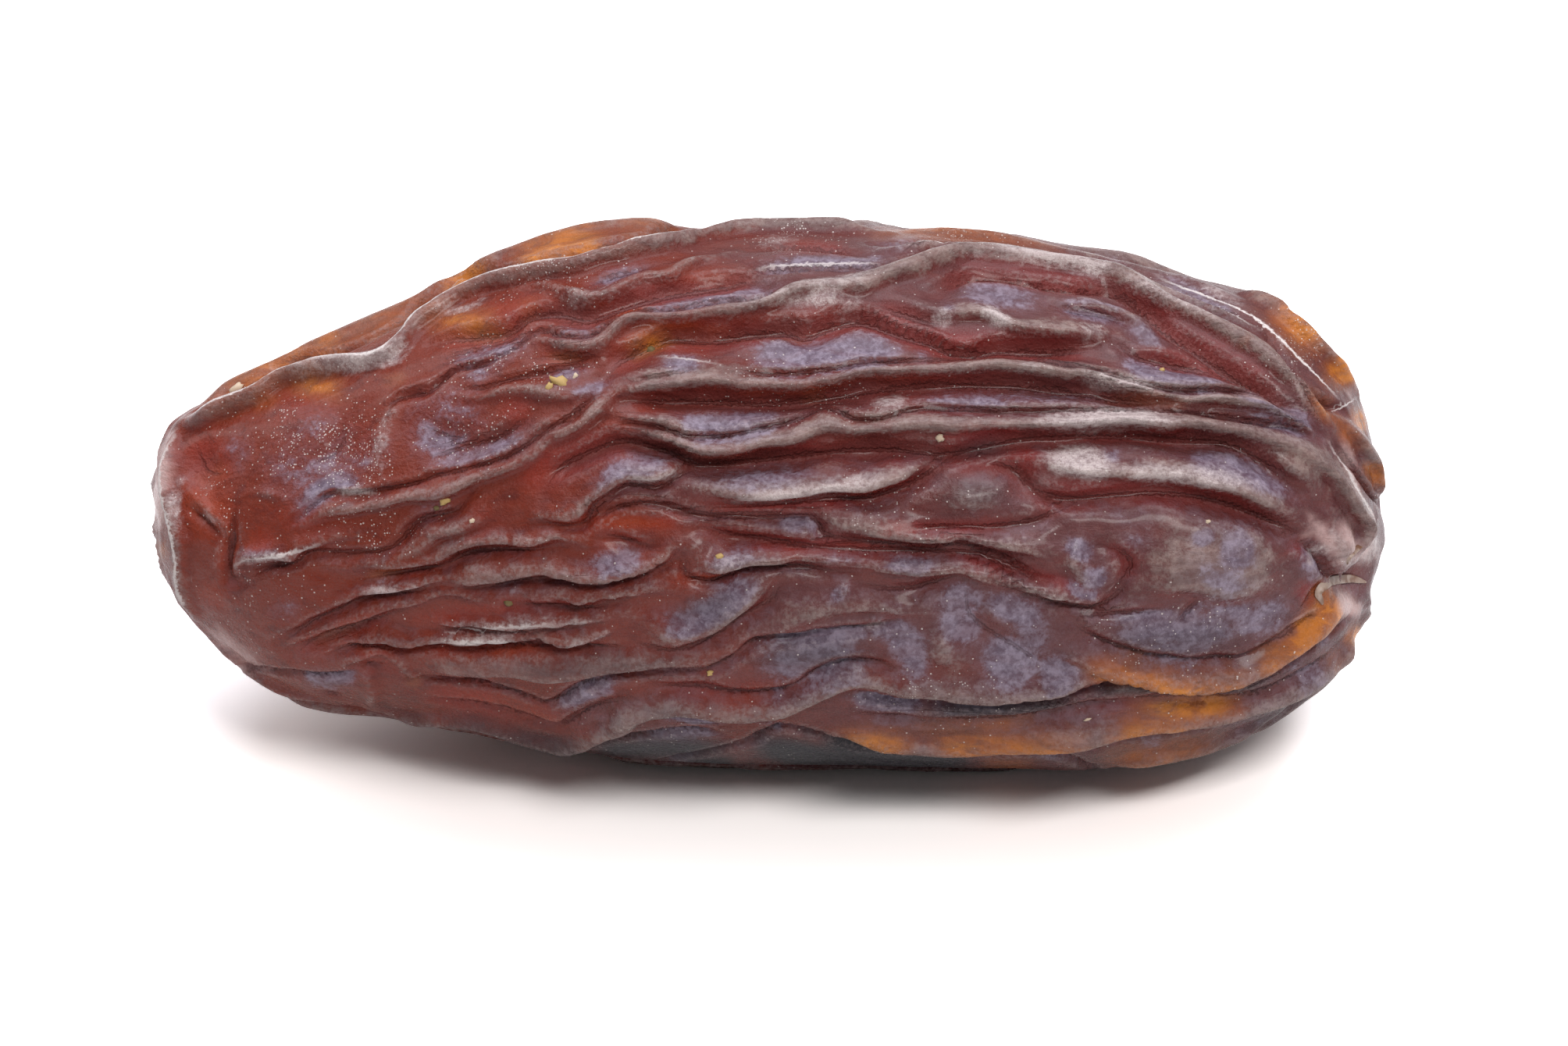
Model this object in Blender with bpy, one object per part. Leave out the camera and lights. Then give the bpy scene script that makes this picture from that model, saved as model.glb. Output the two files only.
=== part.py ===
"""A ripe medjool date lying on its side: one closed fruit whose loose skin has dried into long folds.

The row frame is in metres, +X from the blunt tip to the stem scar, +Z up, with the origin under the
middle of the fruit on the surface that it rests on. Sizes below are in millimetres.

The fruit is a plain spindle first. Its folds are then raised and sunk along routes on that spindle. The
routes of the near side were read from the reference photograph, so they are given in its pixels, and the
far side follows a seeded rule of the same kind.
"""

import math
import random

import bmesh
import bpy
import numpy as np

MM = 0.001

# How the photograph sees the fruit
PIXELS_PER_MM = 31.6
MIDDLE_PIXEL = (982.5, 645.0)
VIEW_ELEVATION = math.radians(35.0)
VIEW_UP = np.array([0.0, math.sin(VIEW_ELEVATION), math.cos(VIEW_ELEVATION)])
VIEW_NEAR = np.array([0.0, -math.cos(VIEW_ELEVATION), math.sin(VIEW_ELEVATION)])

# The spindle: place along the fruit, half thickness, and how far its middle lies above the axis
SPINDLE = (
    (-24.85, 0.00, 0.05),
    (-24.72, 1.60, 0.05),
    (-24.35, 2.90, -0.05),
    (-23.50, 4.10, -0.40),
    (-21.60, 5.35, -0.80),
    (-19.70, 6.45, -0.95),
    (-17.80, 7.20, -0.80),
    (-15.20, 8.00, -0.40),
    (-12.10, 9.10, 0.10),
    (-8.90, 10.15, 0.40),
    (-5.80, 10.70, 0.45),
    (-2.60, 10.75, 0.25),
    (0.60, 10.80, 0.25),
    (3.70, 10.80, 0.22),
    (6.90, 10.80, 0.15),
    (10.00, 10.65, -0.05),
    (13.20, 10.30, -0.45),
    (16.40, 9.65, -0.60),
    (19.50, 8.72, -0.33),
    (21.50, 7.68, -0.17),
    (23.00, 6.25, -0.15),
    (24.00, 4.55, -0.35),
    (24.65, 2.30, -0.80),
    (24.85, 0.00, -1.10),
)
AXIS_HEIGHT = 10.45
AXIS_OFFSET = -0.178
SHIFT_ALONG = -0.029
FLAT_WITHIN = 0.04
# Steps of the fine outline between two rows of the spindle, and of a route between two of its points
OUTLINE_STEPS, ROUTE_STEPS = 24, 4
# The share of the outline over which its slope is taken
SLOPE_STEP = 0.004
# The thinnest spindle that a route is laid on, and how near to a skyline it may come (a cosine)
THINNEST, NEAREST_SKYLINE = 0.2, 0.995

# The skin is shaped on a fine grid, then thinned to the facets that the solid keeps
STEPS_ROUND = 260
STEPS_ALONG = 230
FACETS = 10800

# A fold narrower than this is drawn this wide, and loses height by this power of what it gained in width
NARROWEST_FOLD = 0.34
NARROW_LOSS = 0.7

# Folds of the near side: route in photograph pixels, half width and height; a furrow's height is negative
FOLDS = {
    # Along the upper skyline
    "back fold": ([(250, 530), (300, 502), (360, 470), (430, 437), (500, 404), (560, 370), (620, 337),
                   (680, 310), (740, 294), (800, 285), (850, 284), (890, 291)], 0.70, 0.45),
    "behind the rim": ([(300, 508), (350, 484), (392, 462), (450, 445), (500, 420), (545, 388), (600, 356),
                        (660, 342), (740, 322), (800, 308), (860, 298), (905, 292)], 0.32, -0.80),
    "rim": ([(236, 545), (275, 536), (325, 516), (360, 497), (400, 481), (440, 472), (490, 466), (518, 442),
             (542, 418), (578, 392), (622, 372), (680, 358), (740, 346), (800, 332), (870, 316), (930, 304),
             (1000, 297), (1070, 298), (1130, 302)], 0.45, 0.70),
    "rim ledge": ([(660, 372), (700, 368), (730, 381), (757, 388), (790, 376), (820, 361), (855, 357),
                   (885, 343), (930, 330)], 0.30, 0.35),
    "ledge streak": ([(752, 370), (775, 358), (810, 350), (842, 339)], 0.22, -0.22),
    "right skyline": ([(1150, 293), (1250, 298), (1350, 317), (1450, 342), (1520, 364), (1580, 384)], 0.60, 0.35),
    "right rim crease": ([(1118, 312), (1150, 315), (1200, 313), (1260, 316), (1320, 322), (1390, 339),
                          (1450, 357), (1510, 379), (1560, 397), (1605, 414)], 0.22, -0.50),
    "right rim": ([(1130, 324), (1190, 321), (1260, 323), (1320, 330), (1390, 347), (1450, 366), (1510, 388),
                   (1560, 406), (1610, 426)], 0.28, 0.35),
    "far rim": ([(1480, 348), (1520, 359), (1570, 373), (1615, 391), (1650, 418), (1685, 452), (1715, 480),
                 (1732, 500)], 0.35, 0.50),
    "behind the far rim": ([(1530, 350), (1580, 364), (1625, 381), (1665, 410), (1700, 443), (1735, 478)],
                           0.30, -0.50),

    # Upper folds
    "upper hollow": ([(556, 440), (600, 428), (650, 420), (682, 400), (720, 396), (755, 404), (800, 388),
                      (850, 374), (900, 363), (950, 358), (980, 366)], 0.55, -0.55),
    "hollow floor": ([(560, 462), (610, 445), (660, 430), (740, 412)], 0.60, -0.30),
    "second crease": ([(498, 548), (505, 524), (525, 509), (550, 502), (570, 485), (590, 470), (625, 465),
                       (655, 448), (685, 428), (705, 422), (718, 432), (745, 436), (768, 431), (790, 413),
                       (812, 402), (838, 404), (868, 402), (900, 393), (930, 388), (960, 390), (982, 386),
                       (1000, 373), (1018, 364)], 0.22, -0.45),
    "second fold": ([(690, 437), (715, 442), (748, 447), (770, 442), (790, 425), (818, 412), (862, 411),
                     (900, 406), (945, 402), (985, 395), (1012, 383), (1048, 377), (1085, 374), (1125, 364),
                     (1165, 352), (1200, 339), (1245, 330), (1295, 335), (1345, 344), (1400, 353), (1442, 368),
                     (1490, 395), (1540, 418), (1590, 443), (1635, 481), (1668, 521), (1690, 552)], 0.48, 0.60),
    "second fold bulge": ([(1010, 372), (1045, 385), (1090, 372), (1150, 360)], 0.75, 0.30),
    "short red furrow": ([(958, 322), (1010, 317), (1070, 320), (1108, 330)], 0.30, -0.30),
    "short crease": ([(955, 336), (985, 348), (1040, 344), (1100, 346), (1145, 341), (1185, 327), (1205, 320)],
                     0.20, -0.35),
    "left lip crease": ([(580, 499), (620, 498), (660, 488), (700, 476), (740, 468), (775, 471)], 0.20, -0.35),
    "left lip": ([(575, 508), (630, 505), (680, 500), (725, 510), (760, 505)], 0.35, 0.35),
    "lens": ([(702, 490), (722, 500), (745, 496)], 0.28, 0.20),
    "orange furrow": ([(690, 462), (720, 458), (752, 457), (780, 466)], 0.25, -0.30),
    "long red furrow": ([(778, 482), (800, 457), (830, 439), (862, 427), (912, 430), (952, 421), (1002, 416),
                         (1032, 423), (1062, 409), (1098, 402), (1135, 414), (1182, 433), (1228, 447),
                         (1292, 442), (1352, 443), (1398, 449)], 0.50, -0.80),
    "red shelf": ([(1110, 392), (1160, 402), (1210, 425)], 0.50, -0.35),
    "third furrow": ([(1198, 374), (1225, 354), (1262, 351), (1312, 358), (1372, 366), (1426, 373), (1463, 394),
                      (1502, 426), (1552, 457), (1602, 491), (1642, 523), (1674, 549)], 0.45, -0.75),
    "inner roll": ([(1185, 402), (1215, 409), (1262, 408), (1295, 424), (1340, 428), (1390, 432), (1428, 436)],
                   0.45, 0.45),
    "roll crease": ([(1342, 389), (1370, 398), (1410, 405), (1440, 418)], 0.18, -0.25),
    "roll hook": ([(1350, 384), (1402, 397), (1445, 412), (1468, 436), (1478, 455)], 0.32, 0.32),
    "hook furrow": ([(1422, 436), (1448, 455), (1480, 462), (1530, 470), (1580, 486)], 0.30, -0.45),
    "flap end": ([(836, 455), (870, 463), (903, 465), (928, 473)], 0.22, 0.28),
    "flap end crease": ([(800, 492), (850, 484), (885, 477), (905, 468)], 0.20, -0.30),

    # Middle folds
    "third crease": ([(930, 476), (960, 481), (1000, 483), (1060, 477), (1130, 468), (1200, 463), (1270, 460),
                      (1340, 464), (1400, 479), (1460, 496), (1500, 503), (1560, 503), (1605, 512), (1650, 535),
                      (1690, 560)], 0.20, -0.50),
    "third fold": ([(797, 500), (835, 494), (885, 487), (925, 486), (975, 493), (1030, 492), (1085, 486),
                    (1145, 477), (1205, 473), (1265, 472), (1325, 475), (1375, 482), (1425, 492), (1465, 502),
                    (1505, 509), (1560, 513), (1610, 521), (1650, 541), (1690, 567)], 0.42, 0.65),
    "third fold tail": ([(797, 500), (768, 523), (735, 546), (702, 563), (672, 588), (632, 604), (582, 622),
                         (530, 637), (470, 643), (420, 653), (380, 678)], 0.42, 0.50),
    "tail crease": ([(378, 675), (405, 650), (432, 631), (465, 629), (495, 626), (530, 621), (562, 611),
                     (605, 600), (655, 585), (690, 564), (722, 542), (752, 520), (780, 500)], 0.20, -0.42),
    "fourth furrow": ([(800, 518), (850, 510), (910, 509), (970, 513), (1040, 508), (1100, 499), (1160, 491),
                       (1220, 489), (1290, 490), (1340, 494), (1400, 502), (1450, 512), (1480, 522)], 0.42, -0.60),
    "fourth crease": ([(775, 532), (805, 540), (842, 546), (870, 556), (896, 562), (950, 556), (1000, 546),
                       (1030, 535), (1052, 523), (1070, 527), (1095, 538), (1135, 535), (1165, 527), (1225, 525),
                       (1300, 527), (1380, 527), (1440, 526), (1500, 529), (1540, 533), (1590, 538), (1640, 546),
                       (1680, 558)], 0.20, -0.50),
    "fourth fold": ([(790, 541), (835, 550), (868, 564), (900, 577), (945, 570), (1005, 562), (1055, 548),
                     (1095, 550), (1150, 543), (1210, 545), (1270, 542), (1325, 540), (1375, 541), (1425, 537),
                     (1475, 541), (1530, 547), (1590, 556), (1645, 573), (1690, 600), (1720, 640), (1738, 680),
                     (1726, 715)], 0.48, 0.65),
    "stem shoulder": ([(1600, 585), (1650, 600), (1690, 630)], 1.00, 0.35),
    "big red hollow": ([(700, 628), (718, 600), (752, 580), (800, 562), (850, 574), (890, 590), (960, 588),
                        (1050, 578), (1130, 573), (1200, 580), (1260, 570), (1310, 560), (1380, 556), (1440, 554),
                        (1500, 558), (1560, 563), (1595, 579), (1630, 603), (1652, 622)], 0.45, -0.65),
    "red pool": ([(1245, 590), (1290, 598), (1312, 622), (1340, 640)], 0.60, -0.55),
    "white fold": ([(1325, 592), (1380, 603), (1440, 607), (1500, 610), (1560, 620), (1605, 635), (1648, 654)],
                   0.48, 0.60),
    "white fold furrow": ([(1306, 598), (1322, 627), (1365, 638), (1425, 633), (1485, 631), (1545, 638),
                           (1592, 653), (1632, 671), (1668, 686)], 0.38, -0.65),
    "trough fold": ([(893, 628), (950, 632), (1005, 631), (1055, 624), (1105, 620), (1145, 609), (1172, 593),
                     (1190, 577)], 0.42, 0.55),
    "trough furrow": ([(898, 647), (960, 648), (1020, 643), (1065, 640), (1115, 635), (1155, 623), (1190, 602),
                       (1214, 583)], 0.35, -0.50),
    "low swell": ([(1190, 638), (1240, 641), (1300, 643)], 0.75, 0.40),
    "swell furrow": ([(1148, 672), (1205, 674), (1262, 674), (1312, 668), (1345, 656), (1374, 642)], 0.30, -0.42),
    "step fold": ([(688, 660), (745, 656), (770, 634), (802, 611), (842, 611), (872, 598), (894, 585)], 0.35, 0.45),
    "step crease": ([(700, 670), (750, 669), (763, 647), (783, 629), (804, 621), (824, 622), (847, 625),
                     (873, 609), (897, 596)], 0.20, -0.38),
    "hook rim": ([(768, 673), (795, 660), (815, 653), (862, 654), (892, 663)], 0.20, 0.25),
    "lip above": ([(900, 652), (960, 653), (1030, 650), (1080, 665), (1120, 678), (1180, 685), (1250, 687),
                   (1310, 700), (1350, 722)], 0.42, 0.42),
    "long lip crease": ([(760, 668), (790, 652), (815, 645), (860, 646), (890, 656), (940, 663), (1000, 663),
                         (1035, 661), (1048, 672), (1058, 685), (1100, 692), (1160, 696), (1225, 695),
                         (1260, 703), (1300, 721), (1335, 740)], 0.20, -0.45),
    "blind red furrow": ([(768, 688), (800, 690), (838, 702)], 0.38, -0.42),
    "deep red furrow": ([(900, 672), (930, 684), (975, 691), (1020, 698), (1060, 701), (1120, 705), (1190, 707),
                         (1240, 709), (1285, 725), (1332, 746)], 0.35, -0.65),

    # Lower folds
    "fifth fold": ([(893, 702), (906, 722), (936, 724), (972, 714), (1020, 712), (1080, 715), (1130, 721),
                    (1180, 725), (1225, 723), (1265, 739), (1310, 756), (1355, 768), (1390, 771)], 0.38, 0.52),
    "fifth crease": ([(868, 706), (874, 722), (884, 738), (915, 743), (950, 729), (985, 724), (1040, 728),
                      (1090, 731)], 0.20, -0.42),
    "fifth fold shadow": ([(1100, 747), (1160, 756), (1200, 744), (1228, 731)], 0.45, -0.45),
    "beak crease": ([(1245, 727), (1290, 748), (1330, 764), (1370, 776), (1400, 778), (1424, 762), (1440, 740)],
                    0.20, -0.50),
    "beak": ([(1378, 688), (1373, 720), (1386, 745), (1392, 764)], 0.35, 0.32),
    "comma": ([(1402, 697), (1430, 705), (1443, 722), (1430, 746), (1412, 760)], 0.22, -0.34),
    "sixth fold": ([(560, 748), (600, 741), (640, 735), (690, 723), (730, 732), (770, 736), (812, 727),
                    (852, 715), (874, 698)], 0.32, 0.42),
    "sixth crease": ([(600, 748), (650, 746), (700, 739), (762, 742), (822, 731), (856, 721), (870, 706)],
                     0.18, -0.38),
    "thread one": ([(462, 727), (520, 722), (560, 712), (590, 698), (640, 691), (680, 693), (712, 683),
                    (735, 688), (755, 699)], 0.22, 0.34),
    "thread one furrow": ([(470, 740), (520, 733), (565, 725), (600, 710), (650, 704), (690, 702), (722, 697)],
                          0.20, -0.34),
    "thread two": ([(418, 774), (446, 765), (462, 755), (500, 757), (522, 752), (560, 743), (610, 738)],
                   0.20, 0.30),
    "thread two crease": ([(362, 823), (385, 809), (410, 793), (440, 779), (462, 768), (495, 762), (530, 757),
                           (570, 750)], 0.18, -0.38),
    "thread three": ([(430, 800), (470, 787), (505, 776), (535, 767), (562, 760), (590, 757), (612, 765),
                      (642, 776)], 0.22, 0.32),
    "orange notch": ([(378, 838), (410, 820), (450, 806), (492, 790), (515, 780)], 0.32, -0.55),
    "grain fold": ([(560, 790), (600, 796), (640, 797), (690, 793), (740, 790), (790, 786), (812, 777)], 0.22, 0.32),
    "grain line": ([(560, 803), (640, 804), (700, 801), (730, 803)], 0.14, -0.25),
    "seventh fold": ([(445, 829), (470, 821), (500, 818), (530, 820), (560, 813), (600, 813), (640, 812),
                      (690, 808), (712, 815), (735, 817), (765, 808), (806, 797)], 0.25, 0.36),
    "seventh crease": ([(418, 838), (450, 828), (490, 826), (520, 828), (560, 823), (620, 823), (700, 825),
                        (760, 824), (810, 822)], 0.20, -0.40),
    "thin fold": ([(690, 764), (720, 758), (752, 764), (792, 756), (842, 750), (868, 757)], 0.20, 0.28),
    "thin furrow": ([(655, 773), (700, 773), (760, 778), (800, 771)], 0.24, -0.32),
    "spoon": ([(815, 785), (840, 803), (868, 812), (900, 803), (930, 785), (955, 765), (978, 749), (982, 736)],
              0.42, 0.52),
    "spoon crease": ([(812, 815), (842, 824), (880, 826), (916, 812), (952, 789), (987, 767), (1000, 745)],
                     0.24, -0.42),
    "dimple": ([(1070, 742), (1085, 760)], 0.38, 0.32),
    "plateau": ([(540, 846), (600, 848), (660, 852), (720, 860), (800, 845), (880, 838), (930, 828)], 0.70, 0.45),
    "plateau right": ([(985, 795), (1050, 780), (1120, 772), (1180, 778)], 0.60, 0.35),
    "plateau crease": ([(528, 866), (580, 869), (632, 876), (680, 891), (702, 898), (722, 893), (750, 876),
                        (792, 863), (832, 857), (880, 854), (922, 850), (942, 836), (962, 821), (1002, 812),
                        (1062, 805), (1112, 801), (1150, 791)], 0.20, -0.45),
    "red belly": ([(560, 892), (625, 903), (680, 920), (722, 930), (750, 915), (800, 893)], 0.40, -0.45),
    "brown belly": ([(838, 875), (900, 881), (960, 887), (1010, 880), (1045, 860), (1085, 846), (1125, 846),
                     (1150, 862)], 0.36, -0.42),
    "eighth fold": ([(480, 906), (540, 916), (620, 924), (680, 942), (735, 950), (780, 931), (820, 909),
                     (870, 903), (930, 909), (990, 906), (1030, 891), (1070, 869), (1110, 864), (1165, 878),
                     (1230, 885), (1300, 884), (1360, 872), (1410, 862)], 0.46, 0.50),
    "waist": ([(1195, 790), (1205, 830), (1230, 862)], 0.70, 0.35),
    "patch hollow": ([(1235, 745), (1240, 790), (1300, 830), (1340, 850)], 0.80, -0.25),
    "ninth crease": ([(1085, 884), (1112, 886), (1142, 894), (1185, 899), (1245, 901), (1300, 900), (1352, 893),
                      (1400, 880), (1440, 870), (1482, 875), (1522, 880), (1562, 877), (1602, 866), (1652, 843),
                      (1700, 810), (1728, 787)], 0.22, -0.70),
    "orange fold": ([(1372, 840), (1405, 854), (1455, 862), (1505, 868), (1560, 863), (1602, 851), (1650, 825),
                     (1690, 799), (1716, 776)], 0.40, 0.62),
    "orange fold crease": ([(1365, 792), (1392, 812), (1430, 829), (1480, 840), (1540, 844), (1582, 840),
                            (1620, 823), (1655, 802), (1682, 778), (1694, 758)], 0.24, -0.42),
    "round bulge": ([(1450, 735), (1520, 732), (1600, 735), (1640, 725)], 1.60, 0.45),
    "bulge crease": ([(1358, 786), (1400, 788), (1450, 783), (1492, 780)], 0.18, -0.34),
    "bulge nick": ([(1502, 800), (1516, 782), (1532, 765)], 0.16, -0.18),
    "amber fold": ([(1070, 934), (1120, 943), (1180, 949), (1240, 951), (1300, 948), (1360, 941), (1420, 931),
                    (1480, 926), (1540, 916), (1600, 900), (1655, 879), (1700, 851), (1728, 822), (1743, 800)],
                   0.44, 0.60),
    "amber fold furrow": ([(1100, 912), (1180, 920), (1260, 922), (1330, 915), (1400, 900), (1470, 893),
                           (1560, 893), (1620, 880), (1680, 850), (1712, 825)], 0.36, -0.35),
    "tenth crease": ([(850, 972), (900, 963), (955, 949), (990, 932), (1010, 928), (1060, 941), (1100, 953),
                      (1180, 960), (1260, 963), (1320, 961), (1352, 964), (1382, 977), (1420, 996)], 0.24, -0.70),
    "eleventh crease": ([(1400, 957), (1430, 946), (1465, 940), (1510, 934), (1555, 925), (1605, 910),
                         (1655, 892), (1695, 872)], 0.20, -0.50),
    "brown fold": ([(1410, 980), (1470, 968), (1530, 955), (1580, 940), (1630, 918)], 0.50, 0.40),
    "under crease": ([(730, 962), (782, 946), (832, 938), (880, 931), (915, 935), (932, 941)], 0.20, -0.38),
    "upper nick": ([(838, 907), (872, 911), (925, 917), (985, 920), (1010, 928)], 0.16, -0.28),

    # Around the blunt tip
    "tip rim": ([(234, 548), (223, 580), (220, 620), (228, 660), (236, 700), (239, 745), (250, 790)], 0.28, 0.42),
    "tip hollow": ([(252, 562), (262, 598), (300, 608)], 0.75, -0.38),
    "tip star": ([(250, 632), (275, 655), (297, 679)], 0.20, 0.26),
    "tip star crease": ([(245, 645), (270, 668), (292, 690)], 0.18, -0.25),
    "tip furrow": ([(306, 642), (301, 680), (295, 715), (301, 739), (325, 734)], 0.26, -0.38),
    "tip brow": ([(306, 640), (320, 632), (350, 634), (372, 645)], 0.18, 0.22),
    "sugar fold": ([(303, 738), (318, 716), (345, 709), (378, 711), (393, 700), (430, 691), (470, 686)], 0.25, 0.34),
    "sugar crease": ([(320, 740), (350, 728), (385, 718), (402, 704), (450, 707), (500, 703), (518, 692),
                      (530, 676), (550, 662), (588, 652), (610, 632)], 0.20, -0.36),
    "sugar lip": ([(430, 722), (500, 716), (535, 703), (560, 685), (600, 670), (640, 650)], 0.38, 0.30),
    "sugar ridge": ([(548, 503), (516, 518), (503, 545), (496, 575), (486, 604)], 0.34, 0.34),
    "mottled hollow": ([(445, 530), (440, 570), (400, 600)], 0.80, -0.30),
    "pale hollow": ([(540, 545), (590, 560), (620, 550)], 0.80, -0.32),
    "left hollow": ([(545, 590), (600, 570), (640, 560), (690, 530)], 0.40, -0.30),
    "cheek crease": ([(302, 849), (350, 857), (400, 862), (440, 861), (464, 857)], 0.16, -0.34),
    "cheek arc": ([(438, 853), (457, 840), (490, 834), (513, 842), (527, 858), (536, 869)], 0.20, 0.28),
    "cheek pit": ([(465, 852), (495, 850)], 0.26, -0.32),
    "cheek post": ([(470, 863), (478, 885), (481, 905)], 0.30, 0.26),
    "cheek dent": ([(415, 888), (440, 890)], 0.35, -0.22),
    "chin": ([(262, 806), (312, 858), (362, 892), (430, 905)], 0.40, 0.30),

    # Around the stem scar
    "stem brow": ([(1690, 566), (1712, 600), (1732, 640), (1750, 672), (1752, 692)], 0.30, 0.35),
    "stem cheek": ([(1698, 665), (1708, 700), (1712, 722)], 0.75, 0.50),
    "stem lip crease": ([(1645, 694), (1662, 693), (1680, 714), (1698, 738), (1722, 742)], 0.20, -0.60),
    "stem pit": ([(1702, 742), (1735, 742)], 0.42, -0.80),
    "stem furrow": ([(1692, 745), (1674, 765), (1655, 786)], 0.32, -0.42),
    "side crease": ([(1692, 556), (1720, 588), (1746, 618), (1766, 646)], 0.20, -0.42),
    "side fold": ([(1702, 532), (1728, 560), (1752, 597), (1764, 630)], 0.34, 0.42),
    "pocket": ([(1668, 501), (1690, 512), (1714, 523)], 0.26, -0.60),
    "pocket crease": ([(1616, 420), (1632, 452), (1648, 485), (1670, 520), (1692, 548)], 0.20, -0.40),
}

# Folds of the far side: rows of folds and furrows in turn, laid end to end with a small overlap
FAR_SEED = 7
FAR_ROWS = 17
FAR_FROM, FAR_TO = math.radians(188.0), math.radians(354.0)
FAR_REACH = (-23.2, 23.8)
FAR_FIRST_START = (0.0, 9.0)
FAR_LENGTH = (11.0, 30.0)
FAR_SHORTEST = 6.0
FAR_OVERLAP = (1.0, 4.0)
FAR_POINTS = 14
# How far a row sways, in radians round the spindle, in how many waves, how fine its ripple is and how it drifts
FAR_SWAY = (0.04, 0.10)
FAR_WAVES = (0.5, 1.6)
FAR_RIPPLE, FAR_RIPPLE_SHARE = 19.0, 0.22
FAR_DRIFT = (-0.10, 0.10)
FAR_FOLD_WIDTH, FAR_FOLD_HEIGHT = (0.42, 0.70), (0.40, 0.70)
FAR_FURROW_WIDTH, FAR_FURROW_DEPTH = (0.26, 0.45), (0.45, 0.75)

# A fold's lower side is this much narrower than its half width, and its upper side as much wider
STEEPNESS = 0.30
# A fold's cross section follows a bell curve of this power, out to this many half widths
BELL_POWER, BELL_REACH = 2.2, 3.0
# Folds that meet are merged by this power
MERGE_POWER = 3.0
# A fold's ends keep this share of its height, and it grows to the whole over this length or part of its own
END_SHARE, END_LENGTH, END_PART = 0.30, 2.0, 0.45
# How fully the sides count as downhill, near the two skylines
SIDE_SLOPE = 1.6
# How far a fold's top leans over the furrow below it, for each millimetre of its height
LEAN = 0.20

# Puckers round the two ends: where the middle lies in the photograph, how many folds, their height, the
# radius at which they stand highest and how far they spread from it, then the middle's rise and radius
PUCKERS = {
    "stem scar": ((1742, 742), 9, 0.22, 3.2, 1.9, -0.75, 1.0),
    "blunt tip": ((208, 652), 11, 0.18, 2.8, 1.7, 0.08, 0.7),
}
# How unevenly the puckers lie, how much they curl as they run outward, and how deep their furrows are
PUCKER_UNEVEN, PUCKER_CURL, PUCKER_DEPTH = 1.3, 0.25, 1.6
# How far behind its middle, in mm along the view, a ring of puckers comes to its full height, and how suddenly
PUCKERS_BEHIND, PUCKERS_ONSET = 1.6, 2.0

SKIN_COLOUR = (0.115, 0.020, 0.014, 1.0)
SKIN_ROUGHNESS = 0.42


def clear_scene():
    for thing in list(bpy.data.objects):
        bpy.data.objects.remove(thing)


def through(points, per_span):
    """A smooth curve through the points, with per_span steps between each pair (Catmull-Rom)."""
    points = np.asarray(points, float)
    held = np.vstack([2 * points[0] - points[1], points, 2 * points[-1] - points[-2]])
    before, start, end, after = held[:-3, None], held[1:-2, None], held[2:-1, None], held[3:, None]
    t = np.linspace(0.0, 1.0, per_span, endpoint=False)[None, :, None]
    curve = 0.5 * (2 * start + (end - before) * t + (2 * before - 5 * start + 4 * end - after) * t**2
                   + (3 * start - before - 3 * end + after) * t**3)
    return np.vstack([curve.reshape(-1, points.shape[1]), points[-1:]])


# The spindle's outline as a fine curve, and how far each of its points lies along that curve
OUTLINE = through(SPINDLE, OUTLINE_STEPS)
OUTLINE[:, 1] = np.maximum(OUTLINE[:, 1], 0.0)
ALONG = np.concatenate([[0.0], np.cumsum(np.linalg.norm(np.diff(OUTLINE[:, :2], axis=0), axis=1))])
ALONG /= ALONG[-1]


def on_spindle(share, angle):
    """Points and outward directions on the plain spindle, at a share of its outline and an angle about it.

    The angle is 0 at the upper skyline of the photograph, 90 degrees nearest the camera and 180 at the
    lower skyline."""
    place, half, middle = (np.interp(share, ALONG, OUTLINE[:, k]) for k in range(3))
    ahead, behind = np.minimum(share + SLOPE_STEP, 1.0), np.maximum(share - SLOPE_STEP, 0.0)
    run = np.interp(ahead, ALONG, OUTLINE[:, 0]) - np.interp(behind, ALONG, OUTLINE[:, 0])
    rise = np.interp(ahead, ALONG, OUTLINE[:, 1]) - np.interp(behind, ALONG, OUTLINE[:, 1])
    length = np.hypot(run, rise)
    radial = np.cos(angle)[:, None] * VIEW_UP + np.sin(angle)[:, None] * VIEW_NEAR
    along_axis = np.array([1.0, 0.0, 0.0])
    outward = (run / length)[:, None] * radial - (rise / length)[:, None] * along_axis
    centre = np.column_stack([place + SHIFT_ALONG, np.full_like(place, AXIS_OFFSET), np.full_like(place, AXIS_HEIGHT)])
    return centre + middle[:, None] * VIEW_UP + half[:, None] * radial, outward


def route_on_skin(pixels):
    """A route drawn on the photograph, laid on the side of the spindle that faces the camera."""
    pixels = through(pixels, ROUTE_STEPS)
    place = (pixels[:, 0] - MIDDLE_PIXEL[0]) / PIXELS_PER_MM
    height = (MIDDLE_PIXEL[1] - pixels[:, 1]) / PIXELS_PER_MM
    share = np.interp(place, OUTLINE[:, 0], ALONG)
    half = np.interp(share, ALONG, OUTLINE[:, 1])
    middle = np.interp(share, ALONG, OUTLINE[:, 2])
    cosine = (height - middle) / np.maximum(half, THINNEST)
    angle = np.arccos(np.clip(cosine, -NEAREST_SKYLINE, NEAREST_SKYLINE))
    return on_spindle(share, angle)[0]


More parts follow.
